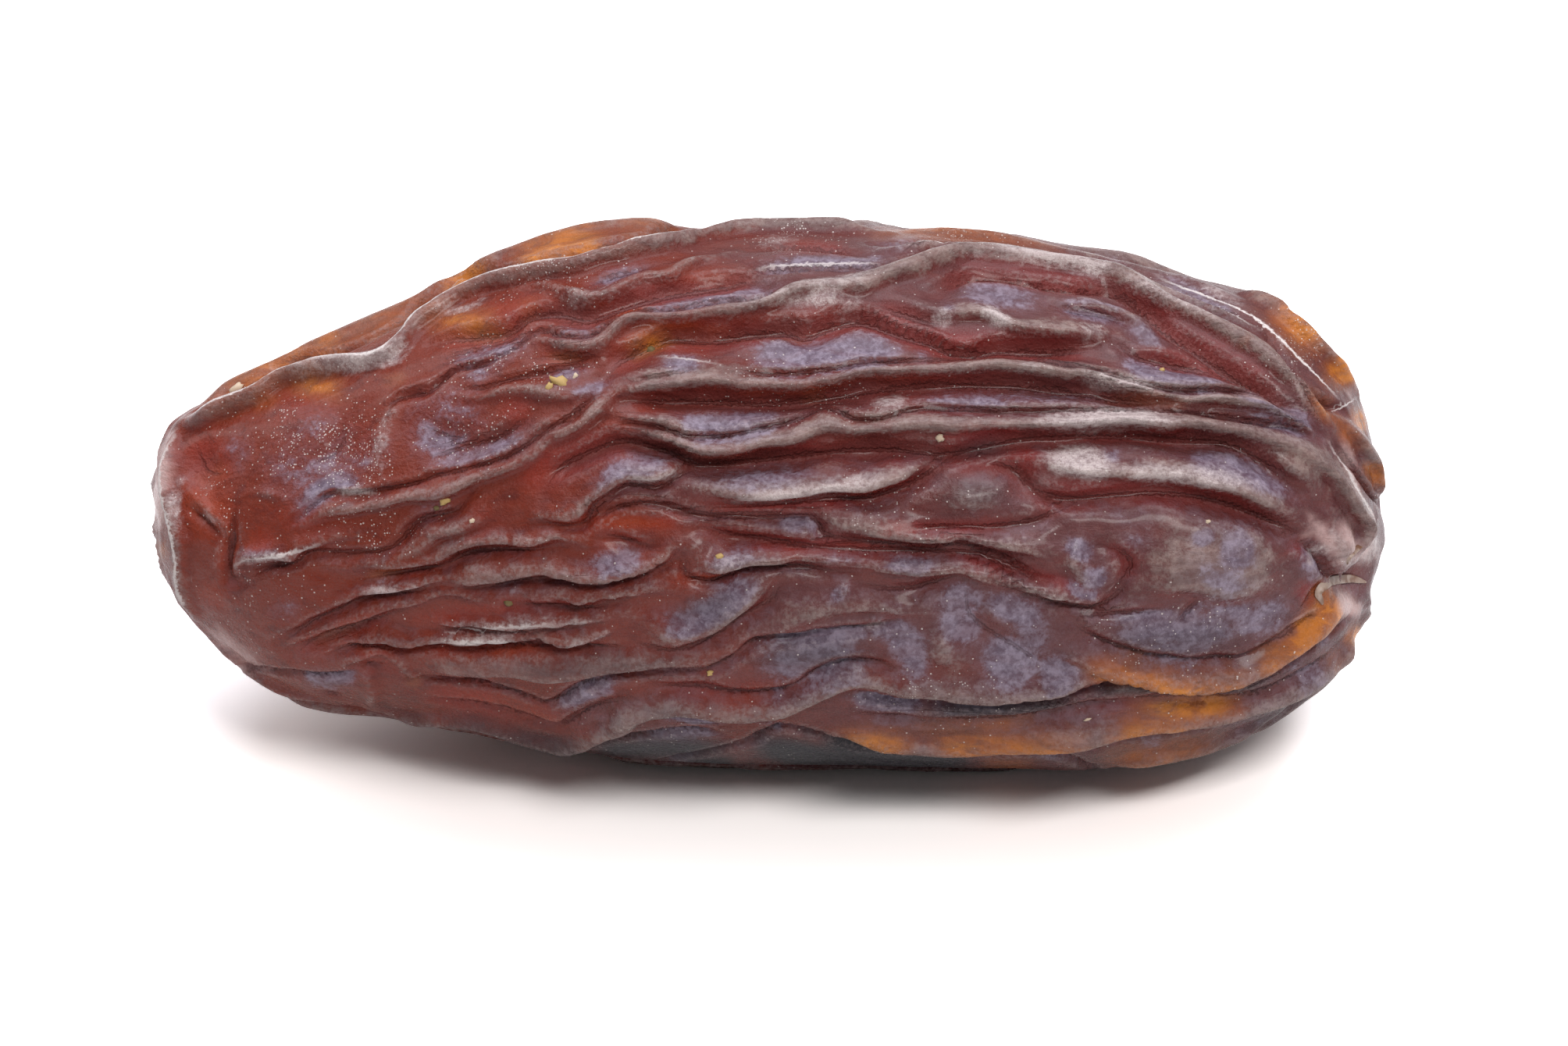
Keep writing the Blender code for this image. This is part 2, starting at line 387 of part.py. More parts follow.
def far_folds():
    """Rows of folds and furrows from end to end over the side that the photograph doesn't show."""
    draw = random.Random(FAR_SEED)
    rows = []
    for row in range(FAR_ROWS):
        angle = FAR_FROM + (FAR_TO - FAR_FROM) * (row + 0.5) / FAR_ROWS
        start = FAR_REACH[0] + draw.uniform(*FAR_FIRST_START)
        while start < FAR_REACH[1] - FAR_SHORTEST:
            end = min(start + draw.uniform(*FAR_LENGTH), FAR_REACH[1])
            sway, waves, turn = draw.uniform(*FAR_SWAY), draw.uniform(*FAR_WAVES), draw.uniform(0.0, 2 * math.pi)
            place = np.linspace(start, end, FAR_POINTS)
            part = (place - start) / (end - start)
            ripple = FAR_RIPPLE_SHARE * np.sin(turn + FAR_RIPPLE * part)
            wander = sway * (np.sin(turn + waves * 2 * math.pi * part) + ripple)
            angles = angle + draw.uniform(*FAR_DRIFT) * (part - 0.5) + wander
            share = np.interp(place, OUTLINE[:, 0], ALONG)
            if row % 2 == 0:
                width, height = draw.uniform(*FAR_FOLD_WIDTH), draw.uniform(*FAR_FOLD_HEIGHT)
            else:
                width, height = draw.uniform(*FAR_FURROW_WIDTH), -draw.uniform(*FAR_FURROW_DEPTH)
            rows.append((on_spindle(share, angles)[0], width, height))
            start = end - draw.uniform(*FAR_OVERLAP)
    return rows


def beside(points, route, reach):
    """Which points lie within reach of a route, their steps away from it, and how far along it each one is."""
    near = np.all((points > route.min(0) - reach) & (points < route.max(0) + reach), axis=1)
    if not near.any():
        return near, np.zeros((0, points.shape[1])), np.zeros(0), 1.0
    start, step = route[:-1], np.diff(route, axis=0)
    lengths = np.linalg.norm(step, axis=1)
    gap = points[near][:, None, :] - start[None]
    share = np.clip((gap * step).sum(2) / (lengths**2), 0.0, 1.0)
    distance = np.linalg.norm(gap - share[..., None] * step, axis=2)
    closest = distance.argmin(1)
    pick = np.arange(len(closest))
    travelled = np.concatenate([[0.0], np.cumsum(lengths)])
    run = travelled[closest] + share[pick, closest] * lengths[closest]
    away = gap[pick, closest] - share[pick, closest, None] * step[closest]
    return near, away, run, travelled[-1]


def rise_of(points, downhill, route, half_width, height):
    """How far one fold lifts each point: a ridge along the route, steep on its lower side, fading at its ends.

    A furrow is steep on its upper side instead."""
    lifted = np.zeros(len(points))
    near, away, run, length = beside(points, route, BELL_REACH * half_width)
    distance = np.linalg.norm(away, axis=1)
    below = (away * downhill[near]).sum(1) / np.maximum(distance, 1e-6)
    width = half_width * (1.0 - math.copysign(STEEPNESS, height) * below)
    from_end = np.clip(np.minimum(run, length - run) / min(END_LENGTH, END_PART * length), 0.0, 1.0)
    strength = END_SHARE + (1.0 - END_SHARE) * from_end * from_end * (3.0 - 2.0 * from_end)
    lifted[near] = height * strength * np.exp(-(np.abs(distance / width) ** BELL_POWER))
    return lifted


def puckers(points):
    """Short folds that run in to the stem scar and to the blunt tip, mostly on the side away from the camera."""
    lifted = np.zeros(len(points))
    for pixel, count, height, ring, spread, middle_rise, middle_radius in PUCKERS.values():
        centre = route_on_skin([pixel, pixel])[0]
        gap = points - centre
        radius = np.linalg.norm(gap, axis=1)
        toward = gap @ VIEW_NEAR
        turn = np.arctan2(gap @ VIEW_UP, toward)
        swirl = count * turn + PUCKER_UNEVEN * np.sin(3.0 * turn + 1.0) + PUCKER_CURL * radius
        share = 1.0 / (1.0 + np.exp(PUCKERS_ONSET * (toward + PUCKERS_BEHIND)))
        folds = (1.0 - PUCKER_DEPTH * np.abs(np.sin(0.5 * swirl))) * np.exp(-(((radius - ring) / spread) ** 2))
        lifted += height * share * folds + middle_rise * np.exp(-((radius / middle_radius) ** 2))
    return lifted


def relief(points, downhill):
    """The folded skin's height over the spindle at each point: folds and furrows each merge smoothly."""
    up, down = np.zeros(len(points)), np.zeros(len(points))
    rows = [(route_on_skin(route), width, height) for route, width, height in FOLDS.values()]
    for route, width, height in rows + far_folds():
        shown = max(width, NARROWEST_FOLD)
        lifted = rise_of(points, downhill, route, shown, height * (width / shown) ** NARROW_LOSS)
        if height > 0:
            up += lifted**MERGE_POWER
        else:
            down += (-lifted) ** MERGE_POWER
    return up ** (1 / MERGE_POWER) - down ** (1 / MERGE_POWER) + puckers(points)


def downhill_of(angle):
    """Which way is down the skin as the photograph shows it: from the upper skyline to the lower one."""
    round_the_side = -np.sin(angle)[:, None] * VIEW_UP + np.cos(angle)[:, None] * VIEW_NEAR
    return np.clip(SIDE_SLOPE * np.sin(angle), -1.0, 1.0)[:, None] * round_the_side


def skin_mesh():
    """The whole fruit: a ball's rings are laid along the spindle, then lifted into folds."""
    ball = bmesh.new()
    bmesh.ops.create_uvsphere(ball, u_segments=STEPS_ROUND, v_segments=STEPS_ALONG, radius=1.0)
    ball.verts.ensure_lookup_table()
    corners = np.array([v.co for v in ball.verts])
    share = np.arccos(np.clip(-corners[:, 2], -1.0, 1.0)) / math.pi
    angle = np.arctan2(corners[:, 1], corners[:, 0])
    points, outward = on_spindle(share, angle)
    downhill = downhill_of(angle)
    rise = relief(points, downhill)[:, None]
    points = points + outward * rise + downhill * LEAN * np.maximum(rise, 0.0)
    points[:, 2] = np.maximum(points[:, 2], 0.0)
    for corner, point in zip(ball.verts, points * MM):
        corner.co = point
    bmesh.ops.recalc_face_normals(ball, faces=ball.faces)
    bmesh.ops.triangulate(ball, faces=ball.faces)
    mesh = bpy.data.meshes.new("date")
    ball.to_mesh(mesh)
    ball.free()
    mesh.shade_smooth()
    return thin(mesh)


def thin(mesh):
    """Merge the fine facets until FACETS are left, keeping the folds' crests and furrows."""
    draft = bpy.data.objects.new("draft", mesh)
    bpy.context.scene.collection.objects.link(draft)
    thinning = draft.modifiers.new("thinning", "DECIMATE")
    thinning.ratio = FACETS / len(mesh.polygons)
    seen = bpy.context.evaluated_depsgraph_get()
    kept = bpy.data.meshes.new_from_object(draft.evaluated_get(seen))
    bpy.data.objects.remove(draft)
    for corner in kept.vertices:
        if corner.co.z < FLAT_WITHIN * MM:
            corner.co.z = 0.0
    kept.name = "date"
    return kept


def skin_material():
    material = bpy.data.materials.new("date_skin")
    material.use_nodes = True
    shader = material.node_tree.nodes["Principled BSDF"]
    shader.inputs["Base Color"].default_value = SKIN_COLOUR
    shader.inputs["Roughness"].default_value = SKIN_ROUGHNESS
    shader.inputs["Metallic"].default_value = 0.0
    return material


def main():
    clear_scene()
    fruit = bpy.data.objects.new("date", skin_mesh())
    fruit.data.materials.append(skin_material())
    bpy.context.scene.collection.objects.link(fruit)


main()
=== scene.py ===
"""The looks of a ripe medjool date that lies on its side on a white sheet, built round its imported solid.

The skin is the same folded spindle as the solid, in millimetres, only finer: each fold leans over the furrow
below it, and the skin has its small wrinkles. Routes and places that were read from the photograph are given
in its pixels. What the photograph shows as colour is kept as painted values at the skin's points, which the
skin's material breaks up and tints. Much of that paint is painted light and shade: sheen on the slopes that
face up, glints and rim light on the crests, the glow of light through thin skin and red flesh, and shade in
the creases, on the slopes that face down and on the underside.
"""

import math
import random

import bmesh
import bpy
import numpy as np
from mathutils import Matrix, Vector


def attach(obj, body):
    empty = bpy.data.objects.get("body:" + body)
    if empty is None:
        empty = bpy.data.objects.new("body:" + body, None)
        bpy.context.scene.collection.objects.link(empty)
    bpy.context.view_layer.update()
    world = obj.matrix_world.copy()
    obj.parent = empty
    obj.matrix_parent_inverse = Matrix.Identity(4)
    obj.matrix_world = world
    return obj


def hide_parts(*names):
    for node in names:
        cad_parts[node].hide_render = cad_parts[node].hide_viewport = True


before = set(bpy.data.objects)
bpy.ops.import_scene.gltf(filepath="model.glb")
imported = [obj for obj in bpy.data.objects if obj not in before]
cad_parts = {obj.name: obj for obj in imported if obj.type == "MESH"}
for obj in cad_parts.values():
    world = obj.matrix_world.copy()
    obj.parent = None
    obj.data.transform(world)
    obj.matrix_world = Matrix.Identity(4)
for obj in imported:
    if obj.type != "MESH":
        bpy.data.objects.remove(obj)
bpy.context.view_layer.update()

MM = 0.001
NODE = "date"
BODY = "root"

# How the photograph sees the fruit
PIXELS_PER_MM = 31.6
MIDDLE_PIXEL = (982.5, 645.0)
VIEW_ELEVATION = math.radians(35.0)
VIEW_UP = np.array([0.0, math.sin(VIEW_ELEVATION), math.cos(VIEW_ELEVATION)])
VIEW_NEAR = np.array([0.0, -math.cos(VIEW_ELEVATION), math.sin(VIEW_ELEVATION)])

# The spindle: place along the fruit, half thickness, and how far its middle lies above the axis
SPINDLE = (
    (-24.85, 0.00, 0.05),
    (-24.72, 1.60, 0.05),
    (-24.35, 2.90, -0.05),
    (-23.50, 4.10, -0.40),
    (-21.60, 5.35, -0.80),
    (-19.70, 6.45, -0.95),
    (-17.80, 7.20, -0.80),
    (-15.20, 8.00, -0.40),
    (-12.10, 9.10, 0.10),
    (-8.90, 10.15, 0.40),
    (-5.80, 10.70, 0.45),
    (-2.60, 10.75, 0.25),
    (0.60, 10.80, 0.25),
    (3.70, 10.80, 0.22),
    (6.90, 10.80, 0.15),
    (10.00, 10.65, -0.05),
    (13.20, 10.30, -0.45),
    (16.40, 9.65, -0.60),
    (19.50, 8.72, -0.33),
    (21.50, 7.68, -0.17),
    (23.00, 6.25, -0.15),
    (24.00, 4.55, -0.35),
    (24.65, 2.30, -0.80),
    (24.85, 0.00, -1.10),
)
AXIS_HEIGHT = 10.45
AXIS_OFFSET = -0.178
SHIFT_ALONG = -0.029
FLAT_WITHIN = 0.04
# Steps of the fine outline between two rows of the spindle, and of a route between two of its points
OUTLINE_STEPS, ROUTE_STEPS = 24, 4
# The share of the outline over which its slope is taken
SLOPE_STEP = 0.004
# The thinnest spindle that a route is laid on, and how near to a skyline it may come (a cosine)
THINNEST, NEAREST_SKYLINE = 0.2, 0.995

# Folds of the near side: route in photograph pixels, half width and height; a furrow's height is negative
FOLDS = {
    # Along the upper skyline
    "back fold": ([(250, 530), (300, 502), (360, 470), (430, 437), (500, 404), (560, 370), (620, 337),
                   (680, 310), (740, 294), (800, 285), (850, 284), (890, 291)], 0.70, 0.45),
    "behind the rim": ([(300, 508), (350, 484), (392, 462), (450, 445), (500, 420), (545, 388), (600, 356),
                        (660, 342), (740, 322), (800, 308), (860, 298), (905, 292)], 0.32, -0.80),
    "rim": ([(236, 545), (275, 536), (325, 516), (360, 497), (400, 481), (440, 472), (490, 466), (518, 442),
             (542, 418), (578, 392), (622, 372), (680, 358), (740, 346), (800, 332), (870, 316), (930, 304),
             (1000, 297), (1070, 298), (1130, 302)], 0.45, 0.70),
    "rim ledge": ([(660, 372), (700, 368), (730, 381), (757, 388), (790, 376), (820, 361), (855, 357),
                   (885, 343), (930, 330)], 0.30, 0.35),
    "ledge streak": ([(752, 370), (775, 358), (810, 350), (842, 339)], 0.22, -0.22),
    "right skyline": ([(1150, 293), (1250, 298), (1350, 317), (1450, 342), (1520, 364), (1580, 384)], 0.60, 0.35),
    "right rim crease": ([(1118, 312), (1150, 315), (1200, 313), (1260, 316), (1320, 322), (1390, 339),
                          (1450, 357), (1510, 379), (1560, 397), (1605, 414)], 0.22, -0.50),
    "right rim": ([(1130, 324), (1190, 321), (1260, 323), (1320, 330), (1390, 347), (1450, 366), (1510, 388),
                   (1560, 406), (1610, 426)], 0.28, 0.35),
    "far rim": ([(1480, 348), (1520, 359), (1570, 373), (1615, 391), (1650, 418), (1685, 452), (1715, 480),
                 (1732, 500)], 0.35, 0.50),
    "behind the far rim": ([(1530, 350), (1580, 364), (1625, 381), (1665, 410), (1700, 443), (1735, 478)],
                           0.30, -0.50),

    # Upper folds
    "upper hollow": ([(556, 440), (600, 428), (650, 420), (682, 400), (720, 396), (755, 404), (800, 388),
                      (850, 374), (900, 363), (950, 358), (980, 366)], 0.55, -0.55),
    "hollow floor": ([(560, 462), (610, 445), (660, 430), (740, 412)], 0.60, -0.30),
    "second crease": ([(498, 548), (505, 524), (525, 509), (550, 502), (570, 485), (590, 470), (625, 465),
                       (655, 448), (685, 428), (705, 422), (718, 432), (745, 436), (768, 431), (790, 413),
                       (812, 402), (838, 404), (868, 402), (900, 393), (930, 388), (960, 390), (982, 386),
                       (1000, 373), (1018, 364)], 0.22, -0.45),
    "second fold": ([(690, 437), (715, 442), (748, 447), (770, 442), (790, 425), (818, 412), (862, 411),
                     (900, 406), (945, 402), (985, 395), (1012, 383), (1048, 377), (1085, 374), (1125, 364),
                     (1165, 352), (1200, 339), (1245, 330), (1295, 335), (1345, 344), (1400, 353), (1442, 368),
                     (1490, 395), (1540, 418), (1590, 443), (1635, 481), (1668, 521), (1690, 552)], 0.48, 0.60),
    "second fold bulge": ([(1010, 372), (1045, 385), (1090, 372), (1150, 360)], 0.75, 0.30),
    "short red furrow": ([(958, 322), (1010, 317), (1070, 320), (1108, 330)], 0.30, -0.30),
    "short crease": ([(955, 336), (985, 348), (1040, 344), (1100, 346), (1145, 341), (1185, 327), (1205, 320)],
                     0.20, -0.35),
    "left lip crease": ([(580, 499), (620, 498), (660, 488), (700, 476), (740, 468), (775, 471)], 0.20, -0.35),
    "left lip": ([(575, 508), (630, 505), (680, 500), (725, 510), (760, 505)], 0.35, 0.35),
    "lens": ([(702, 490), (722, 500), (745, 496)], 0.28, 0.20),
    "orange furrow": ([(690, 462), (720, 458), (752, 457), (780, 466)], 0.25, -0.30),
    "long red furrow": ([(778, 482), (800, 457), (830, 439), (862, 427), (912, 430), (952, 421), (1002, 416),
                         (1032, 423), (1062, 409), (1098, 402), (1135, 414), (1182, 433), (1228, 447),
                         (1292, 442), (1352, 443), (1398, 449)], 0.50, -0.80),
    "red shelf": ([(1110, 392), (1160, 402), (1210, 425)], 0.50, -0.35),
    "third furrow": ([(1198, 374), (1225, 354), (1262, 351), (1312, 358), (1372, 366), (1426, 373), (1463, 394),
                      (1502, 426), (1552, 457), (1602, 491), (1642, 523), (1674, 549)], 0.45, -0.75),
    "inner roll": ([(1185, 402), (1215, 409), (1262, 408), (1295, 424), (1340, 428), (1390, 432), (1428, 436)],
                   0.45, 0.45),
    "roll crease": ([(1342, 389), (1370, 398), (1410, 405), (1440, 418)], 0.18, -0.25),
    "roll hook": ([(1350, 384), (1402, 397), (1445, 412), (1468, 436), (1478, 455)], 0.32, 0.32),
    "hook furrow": ([(1422, 436), (1448, 455), (1480, 462), (1530, 470), (1580, 486)], 0.30, -0.45),
    "flap end": ([(836, 455), (870, 463), (903, 465), (928, 473)], 0.22, 0.28),
    "flap end crease": ([(800, 492), (850, 484), (885, 477), (905, 468)], 0.20, -0.30),

    # Middle folds
    "third crease": ([(930, 476), (960, 481), (1000, 483), (1060, 477), (1130, 468), (1200, 463), (1270, 460),
                      (1340, 464), (1400, 479), (1460, 496), (1500, 503), (1560, 503), (1605, 512), (1650, 535),
                      (1690, 560)], 0.20, -0.50),
    "third fold": ([(797, 500), (835, 494), (885, 487), (925, 486), (975, 493), (1030, 492), (1085, 486),
                    (1145, 477), (1205, 473), (1265, 472), (1325, 475), (1375, 482), (1425, 492), (1465, 502),
                    (1505, 509), (1560, 513), (1610, 521), (1650, 541), (1690, 567)], 0.42, 0.65),
    "third fold tail": ([(797, 500), (768, 523), (735, 546), (702, 563), (672, 588), (632, 604), (582, 622),
                         (530, 637), (470, 643), (420, 653), (380, 678)], 0.42, 0.50),
    "tail crease": ([(378, 675), (405, 650), (432, 631), (465, 629), (495, 626), (530, 621), (562, 611),
                     (605, 600), (655, 585), (690, 564), (722, 542), (752, 520), (780, 500)], 0.20, -0.42),
    "fourth furrow": ([(800, 518), (850, 510), (910, 509), (970, 513), (1040, 508), (1100, 499), (1160, 491),
                       (1220, 489), (1290, 490), (1340, 494), (1400, 502), (1450, 512), (1480, 522)], 0.42, -0.60),
    "fourth crease": ([(775, 532), (805, 540), (842, 546), (870, 556), (896, 562), (950, 556), (1000, 546),
                       (1030, 535), (1052, 523), (1070, 527), (1095, 538), (1135, 535), (1165, 527), (1225, 525),
                       (1300, 527), (1380, 527), (1440, 526), (1500, 529), (1540, 533), (1590, 538), (1640, 546),
                       (1680, 558)], 0.20, -0.50),
    "fourth fold": ([(790, 541), (835, 550), (868, 564), (900, 577), (945, 570), (1005, 562), (1055, 548),
                     (1095, 550), (1150, 543), (1210, 545), (1270, 542), (1325, 540), (1375, 541), (1425, 537),
                     (1475, 541), (1530, 547), (1590, 556), (1645, 573), (1690, 600), (1720, 640), (1738, 680),
                     (1726, 715)], 0.48, 0.65),
    "stem shoulder": ([(1600, 585), (1650, 600), (1690, 630)], 1.00, 0.35),
    "big red hollow": ([(700, 628), (718, 600), (752, 580), (800, 562), (850, 574), (890, 590), (960, 588),
                        (1050, 578), (1130, 573), (1200, 580), (1260, 570), (1310, 560), (1380, 556), (1440, 554),
                        (1500, 558), (1560, 563), (1595, 579), (1630, 603), (1652, 622)], 0.45, -0.65),
    "red pool": ([(1245, 590), (1290, 598), (1312, 622), (1340, 640)], 0.60, -0.55),
    "white fold": ([(1325, 592), (1380, 603), (1440, 607), (1500, 610), (1560, 620), (1605, 635), (1648, 654)],
                   0.48, 0.60),
    "white fold furrow": ([(1306, 598), (1322, 627), (1365, 638), (1425, 633), (1485, 631), (1545, 638),
                           (1592, 653), (1632, 671), (1668, 686)], 0.38, -0.65),
    "trough fold": ([(893, 628), (950, 632), (1005, 631), (1055, 624), (1105, 620), (1145, 609), (1172, 593),
                     (1190, 577)], 0.42, 0.55),
    "trough furrow": ([(898, 647), (960, 648), (1020, 643), (1065, 640), (1115, 635), (1155, 623), (1190, 602),
                       (1214, 583)], 0.35, -0.50),
    "low swell": ([(1190, 638), (1240, 641), (1300, 643)], 0.75, 0.40),
    "swell furrow": ([(1148, 672), (1205, 674), (1262, 674), (1312, 668), (1345, 656), (1374, 642)], 0.30, -0.42),
    "step fold": ([(688, 660), (745, 656), (770, 634), (802, 611), (842, 611), (872, 598), (894, 585)], 0.35, 0.45),
    "step crease": ([(700, 670), (750, 669), (763, 647), (783, 629), (804, 621), (824, 622), (847, 625),
                     (873, 609), (897, 596)], 0.20, -0.38),
    "hook rim": ([(768, 673), (795, 660), (815, 653), (862, 654), (892, 663)], 0.20, 0.25),
    "lip above": ([(900, 652), (960, 653), (1030, 650), (1080, 665), (1120, 678), (1180, 685), (1250, 687),
                   (1310, 700), (1350, 722)], 0.42, 0.42),
    "long lip crease": ([(760, 668), (790, 652), (815, 645), (860, 646), (890, 656), (940, 663), (1000, 663),
                         (1035, 661), (1048, 672), (1058, 685), (1100, 692), (1160, 696), (1225, 695),
                         (1260, 703), (1300, 721), (1335, 740)], 0.20, -0.45),
    "blind red furrow": ([(768, 688), (800, 690), (838, 702)], 0.38, -0.42),
    "deep red furrow": ([(900, 672), (930, 684), (975, 691), (1020, 698), (1060, 701), (1120, 705), (1190, 707),
                         (1240, 709), (1285, 725), (1332, 746)], 0.35, -0.65),

    # Lower folds
    "fifth fold": ([(893, 702), (906, 722), (936, 724), (972, 714), (1020, 712), (1080, 715), (1130, 721),
                    (1180, 725), (1225, 723), (1265, 739), (1310, 756), (1355, 768), (1390, 771)], 0.38, 0.52),
    "fifth crease": ([(868, 706), (874, 722), (884, 738), (915, 743), (950, 729), (985, 724), (1040, 728),
                      (1090, 731)], 0.20, -0.42),
    "fifth fold shadow": ([(1100, 747), (1160, 756), (1200, 744), (1228, 731)], 0.45, -0.45),
    "beak crease": ([(1245, 727), (1290, 748), (1330, 764), (1370, 776), (1400, 778), (1424, 762), (1440, 740)],
                    0.20, -0.50),
    "beak": ([(1378, 688), (1373, 720), (1386, 745), (1392, 764)], 0.35, 0.32),
    "comma": ([(1402, 697), (1430, 705), (1443, 722), (1430, 746), (1412, 760)], 0.22, -0.34),
    "sixth fold": ([(560, 748), (600, 741), (640, 735), (690, 723), (730, 732), (770, 736), (812, 727),
                    (852, 715), (874, 698)], 0.32, 0.42),
    "sixth crease": ([(600, 748), (650, 746), (700, 739), (762, 742), (822, 731), (856, 721), (870, 706)],
                     0.18, -0.38),
    "thread one": ([(462, 727), (520, 722), (560, 712), (590, 698), (640, 691), (680, 693), (712, 683),
                    (735, 688), (755, 699)], 0.22, 0.34),
    "thread one furrow": ([(470, 740), (520, 733), (565, 725), (600, 710), (650, 704), (690, 702), (722, 697)],
                          0.20, -0.34),
    "thread two": ([(418, 774), (446, 765), (462, 755), (500, 757), (522, 752), (560, 743), (610, 738)],
                   0.20, 0.30),
    "thread two crease": ([(362, 823), (385, 809), (410, 793), (440, 779), (462, 768), (495, 762), (530, 757),
                           (570, 750)], 0.18, -0.38),
    "thread three": ([(430, 800), (470, 787), (505, 776), (535, 767), (562, 760), (590, 757), (612, 765),
                      (642, 776)], 0.22, 0.32),
    "orange notch": ([(378, 838), (410, 820), (450, 806), (492, 790), (515, 780)], 0.32, -0.55),
    "grain fold": ([(560, 790), (600, 796), (640, 797), (690, 793), (740, 790), (790, 786), (812, 777)], 0.22, 0.32),
    "grain line": ([(560, 803), (640, 804), (700, 801), (730, 803)], 0.14, -0.25),
    "seventh fold": ([(445, 829), (470, 821), (500, 818), (530, 820), (560, 813), (600, 813), (640, 812),
                      (690, 808), (712, 815), (735, 817), (765, 808), (806, 797)], 0.25, 0.36),
    "seventh crease": ([(418, 838), (450, 828), (490, 826), (520, 828), (560, 823), (620, 823), (700, 825),
                        (760, 824), (810, 822)], 0.20, -0.40),
    "thin fold": ([(690, 764), (720, 758), (752, 764), (792, 756), (842, 750), (868, 757)], 0.20, 0.28),
    "thin furrow": ([(655, 773), (700, 773), (760, 778), (800, 771)], 0.24, -0.32),
    "spoon": ([(815, 785), (840, 803), (868, 812), (900, 803), (930, 785), (955, 765), (978, 749), (982, 736)],
              0.42, 0.52),
    "spoon crease": ([(812, 815), (842, 824), (880, 826), (916, 812), (952, 789), (987, 767), (1000, 745)],
                     0.24, -0.42),
    "dimple": ([(1070, 742), (1085, 760)], 0.38, 0.32),
    "plateau": ([(540, 846), (600, 848), (660, 852), (720, 860), (800, 845), (880, 838), (930, 828)], 0.70, 0.45),
    "plateau right": ([(985, 795), (1050, 780), (1120, 772), (1180, 778)], 0.60, 0.35),
    "plateau crease": ([(528, 866), (580, 869), (632, 876), (680, 891), (702, 898), (722, 893), (750, 876),
                        (792, 863), (832, 857), (880, 854), (922, 850), (942, 836), (962, 821), (1002, 812),
                        (1062, 805), (1112, 801), (1150, 791)], 0.20, -0.45),
    "red belly": ([(560, 892), (625, 903), (680, 920), (722, 930), (750, 915), (800, 893)], 0.40, -0.45),
    "brown belly": ([(838, 875), (900, 881), (960, 887), (1010, 880), (1045, 860), (1085, 846), (1125, 846),
                     (1150, 862)], 0.36, -0.42),
    "eighth fold": ([(480, 906), (540, 916), (620, 924), (680, 942), (735, 950), (780, 931), (820, 909),
                     (870, 903), (930, 909), (990, 906), (1030, 891), (1070, 869), (1110, 864), (1165, 878),
                     (1230, 885), (1300, 884), (1360, 872), (1410, 862)], 0.46, 0.50),
    "waist": ([(1195, 790), (1205, 830), (1230, 862)], 0.70, 0.35),
    "patch hollow": ([(1235, 745), (1240, 790), (1300, 830), (1340, 850)], 0.80, -0.25),
    "ninth crease": ([(1085, 884), (1112, 886), (1142, 894), (1185, 899), (1245, 901), (1300, 900), (1352, 893),
                      (1400, 880), (1440, 870), (1482, 875), (1522, 880), (1562, 877), (1602, 866), (1652, 843),
                      (1700, 810), (1728, 787)], 0.22, -0.70),
    "orange fold": ([(1372, 840), (1405, 854), (1455, 862), (1505, 868), (1560, 863), (1602, 851), (1650, 825),
                     (1690, 799), (1716, 776)], 0.40, 0.62),
    "orange fold crease": ([(1365, 792), (1392, 812), (1430, 829), (1480, 840), (1540, 844), (1582, 840),
                            (1620, 823), (1655, 802), (1682, 778), (1694, 758)], 0.24, -0.42),
    "round bulge": ([(1450, 735), (1520, 732), (1600, 735), (1640, 725)], 1.60, 0.45),
    "bulge crease": ([(1358, 786), (1400, 788), (1450, 783), (1492, 780)], 0.18, -0.34),
    "bulge nick": ([(1502, 800), (1516, 782), (1532, 765)], 0.16, -0.18),
    "amber fold": ([(1070, 934), (1120, 943), (1180, 949), (1240, 951), (1300, 948), (1360, 941), (1420, 931),
                    (1480, 926), (1540, 916), (1600, 900), (1655, 879), (1700, 851), (1728, 822), (1743, 800)],
                   0.44, 0.60),
    "amber fold furrow": ([(1100, 912), (1180, 920), (1260, 922), (1330, 915), (1400, 900), (1470, 893),
                           (1560, 893), (1620, 880), (1680, 850), (1712, 825)], 0.36, -0.35),
    "tenth crease": ([(850, 972), (900, 963), (955, 949), (990, 932), (1010, 928), (1060, 941), (1100, 953),
                      (1180, 960), (1260, 963), (1320, 961), (1352, 964), (1382, 977), (1420, 996)], 0.24, -0.70),
    "eleventh crease": ([(1400, 957), (1430, 946), (1465, 940), (1510, 934), (1555, 925), (1605, 910),
                         (1655, 892), (1695, 872)], 0.20, -0.50),
    "brown fold": ([(1410, 980), (1470, 968), (1530, 955), (1580, 940), (1630, 918)], 0.50, 0.40),
    "under crease": ([(730, 962), (782, 946), (832, 938), (880, 931), (915, 935), (932, 941)], 0.20, -0.38),
    "upper nick": ([(838, 907), (872, 911), (925, 917), (985, 920), (1010, 928)], 0.16, -0.28),

    # Around the blunt tip
    "tip rim": ([(234, 548), (223, 580), (220, 620), (228, 660), (236, 700), (239, 745), (250, 790)], 0.28, 0.42),
    "tip hollow": ([(252, 562), (262, 598), (300, 608)], 0.75, -0.38),
    "tip star": ([(250, 632), (275, 655), (297, 679)], 0.20, 0.26),
    "tip star crease": ([(245, 645), (270, 668), (292, 690)], 0.18, -0.25),
    "tip furrow": ([(306, 642), (301, 680), (295, 715), (301, 739), (325, 734)], 0.26, -0.38),
    "tip brow": ([(306, 640), (320, 632), (350, 634), (372, 645)], 0.18, 0.22),
    "sugar fold": ([(303, 738), (318, 716), (345, 709), (378, 711), (393, 700), (430, 691), (470, 686)], 0.25, 0.34),
    "sugar crease": ([(320, 740), (350, 728), (385, 718), (402, 704), (450, 707), (500, 703), (518, 692),
                      (530, 676), (550, 662), (588, 652), (610, 632)], 0.20, -0.36),
    "sugar lip": ([(430, 722), (500, 716), (535, 703), (560, 685), (600, 670), (640, 650)], 0.38, 0.30),
    "sugar ridge": ([(548, 503), (516, 518), (503, 545), (496, 575), (486, 604)], 0.34, 0.34),
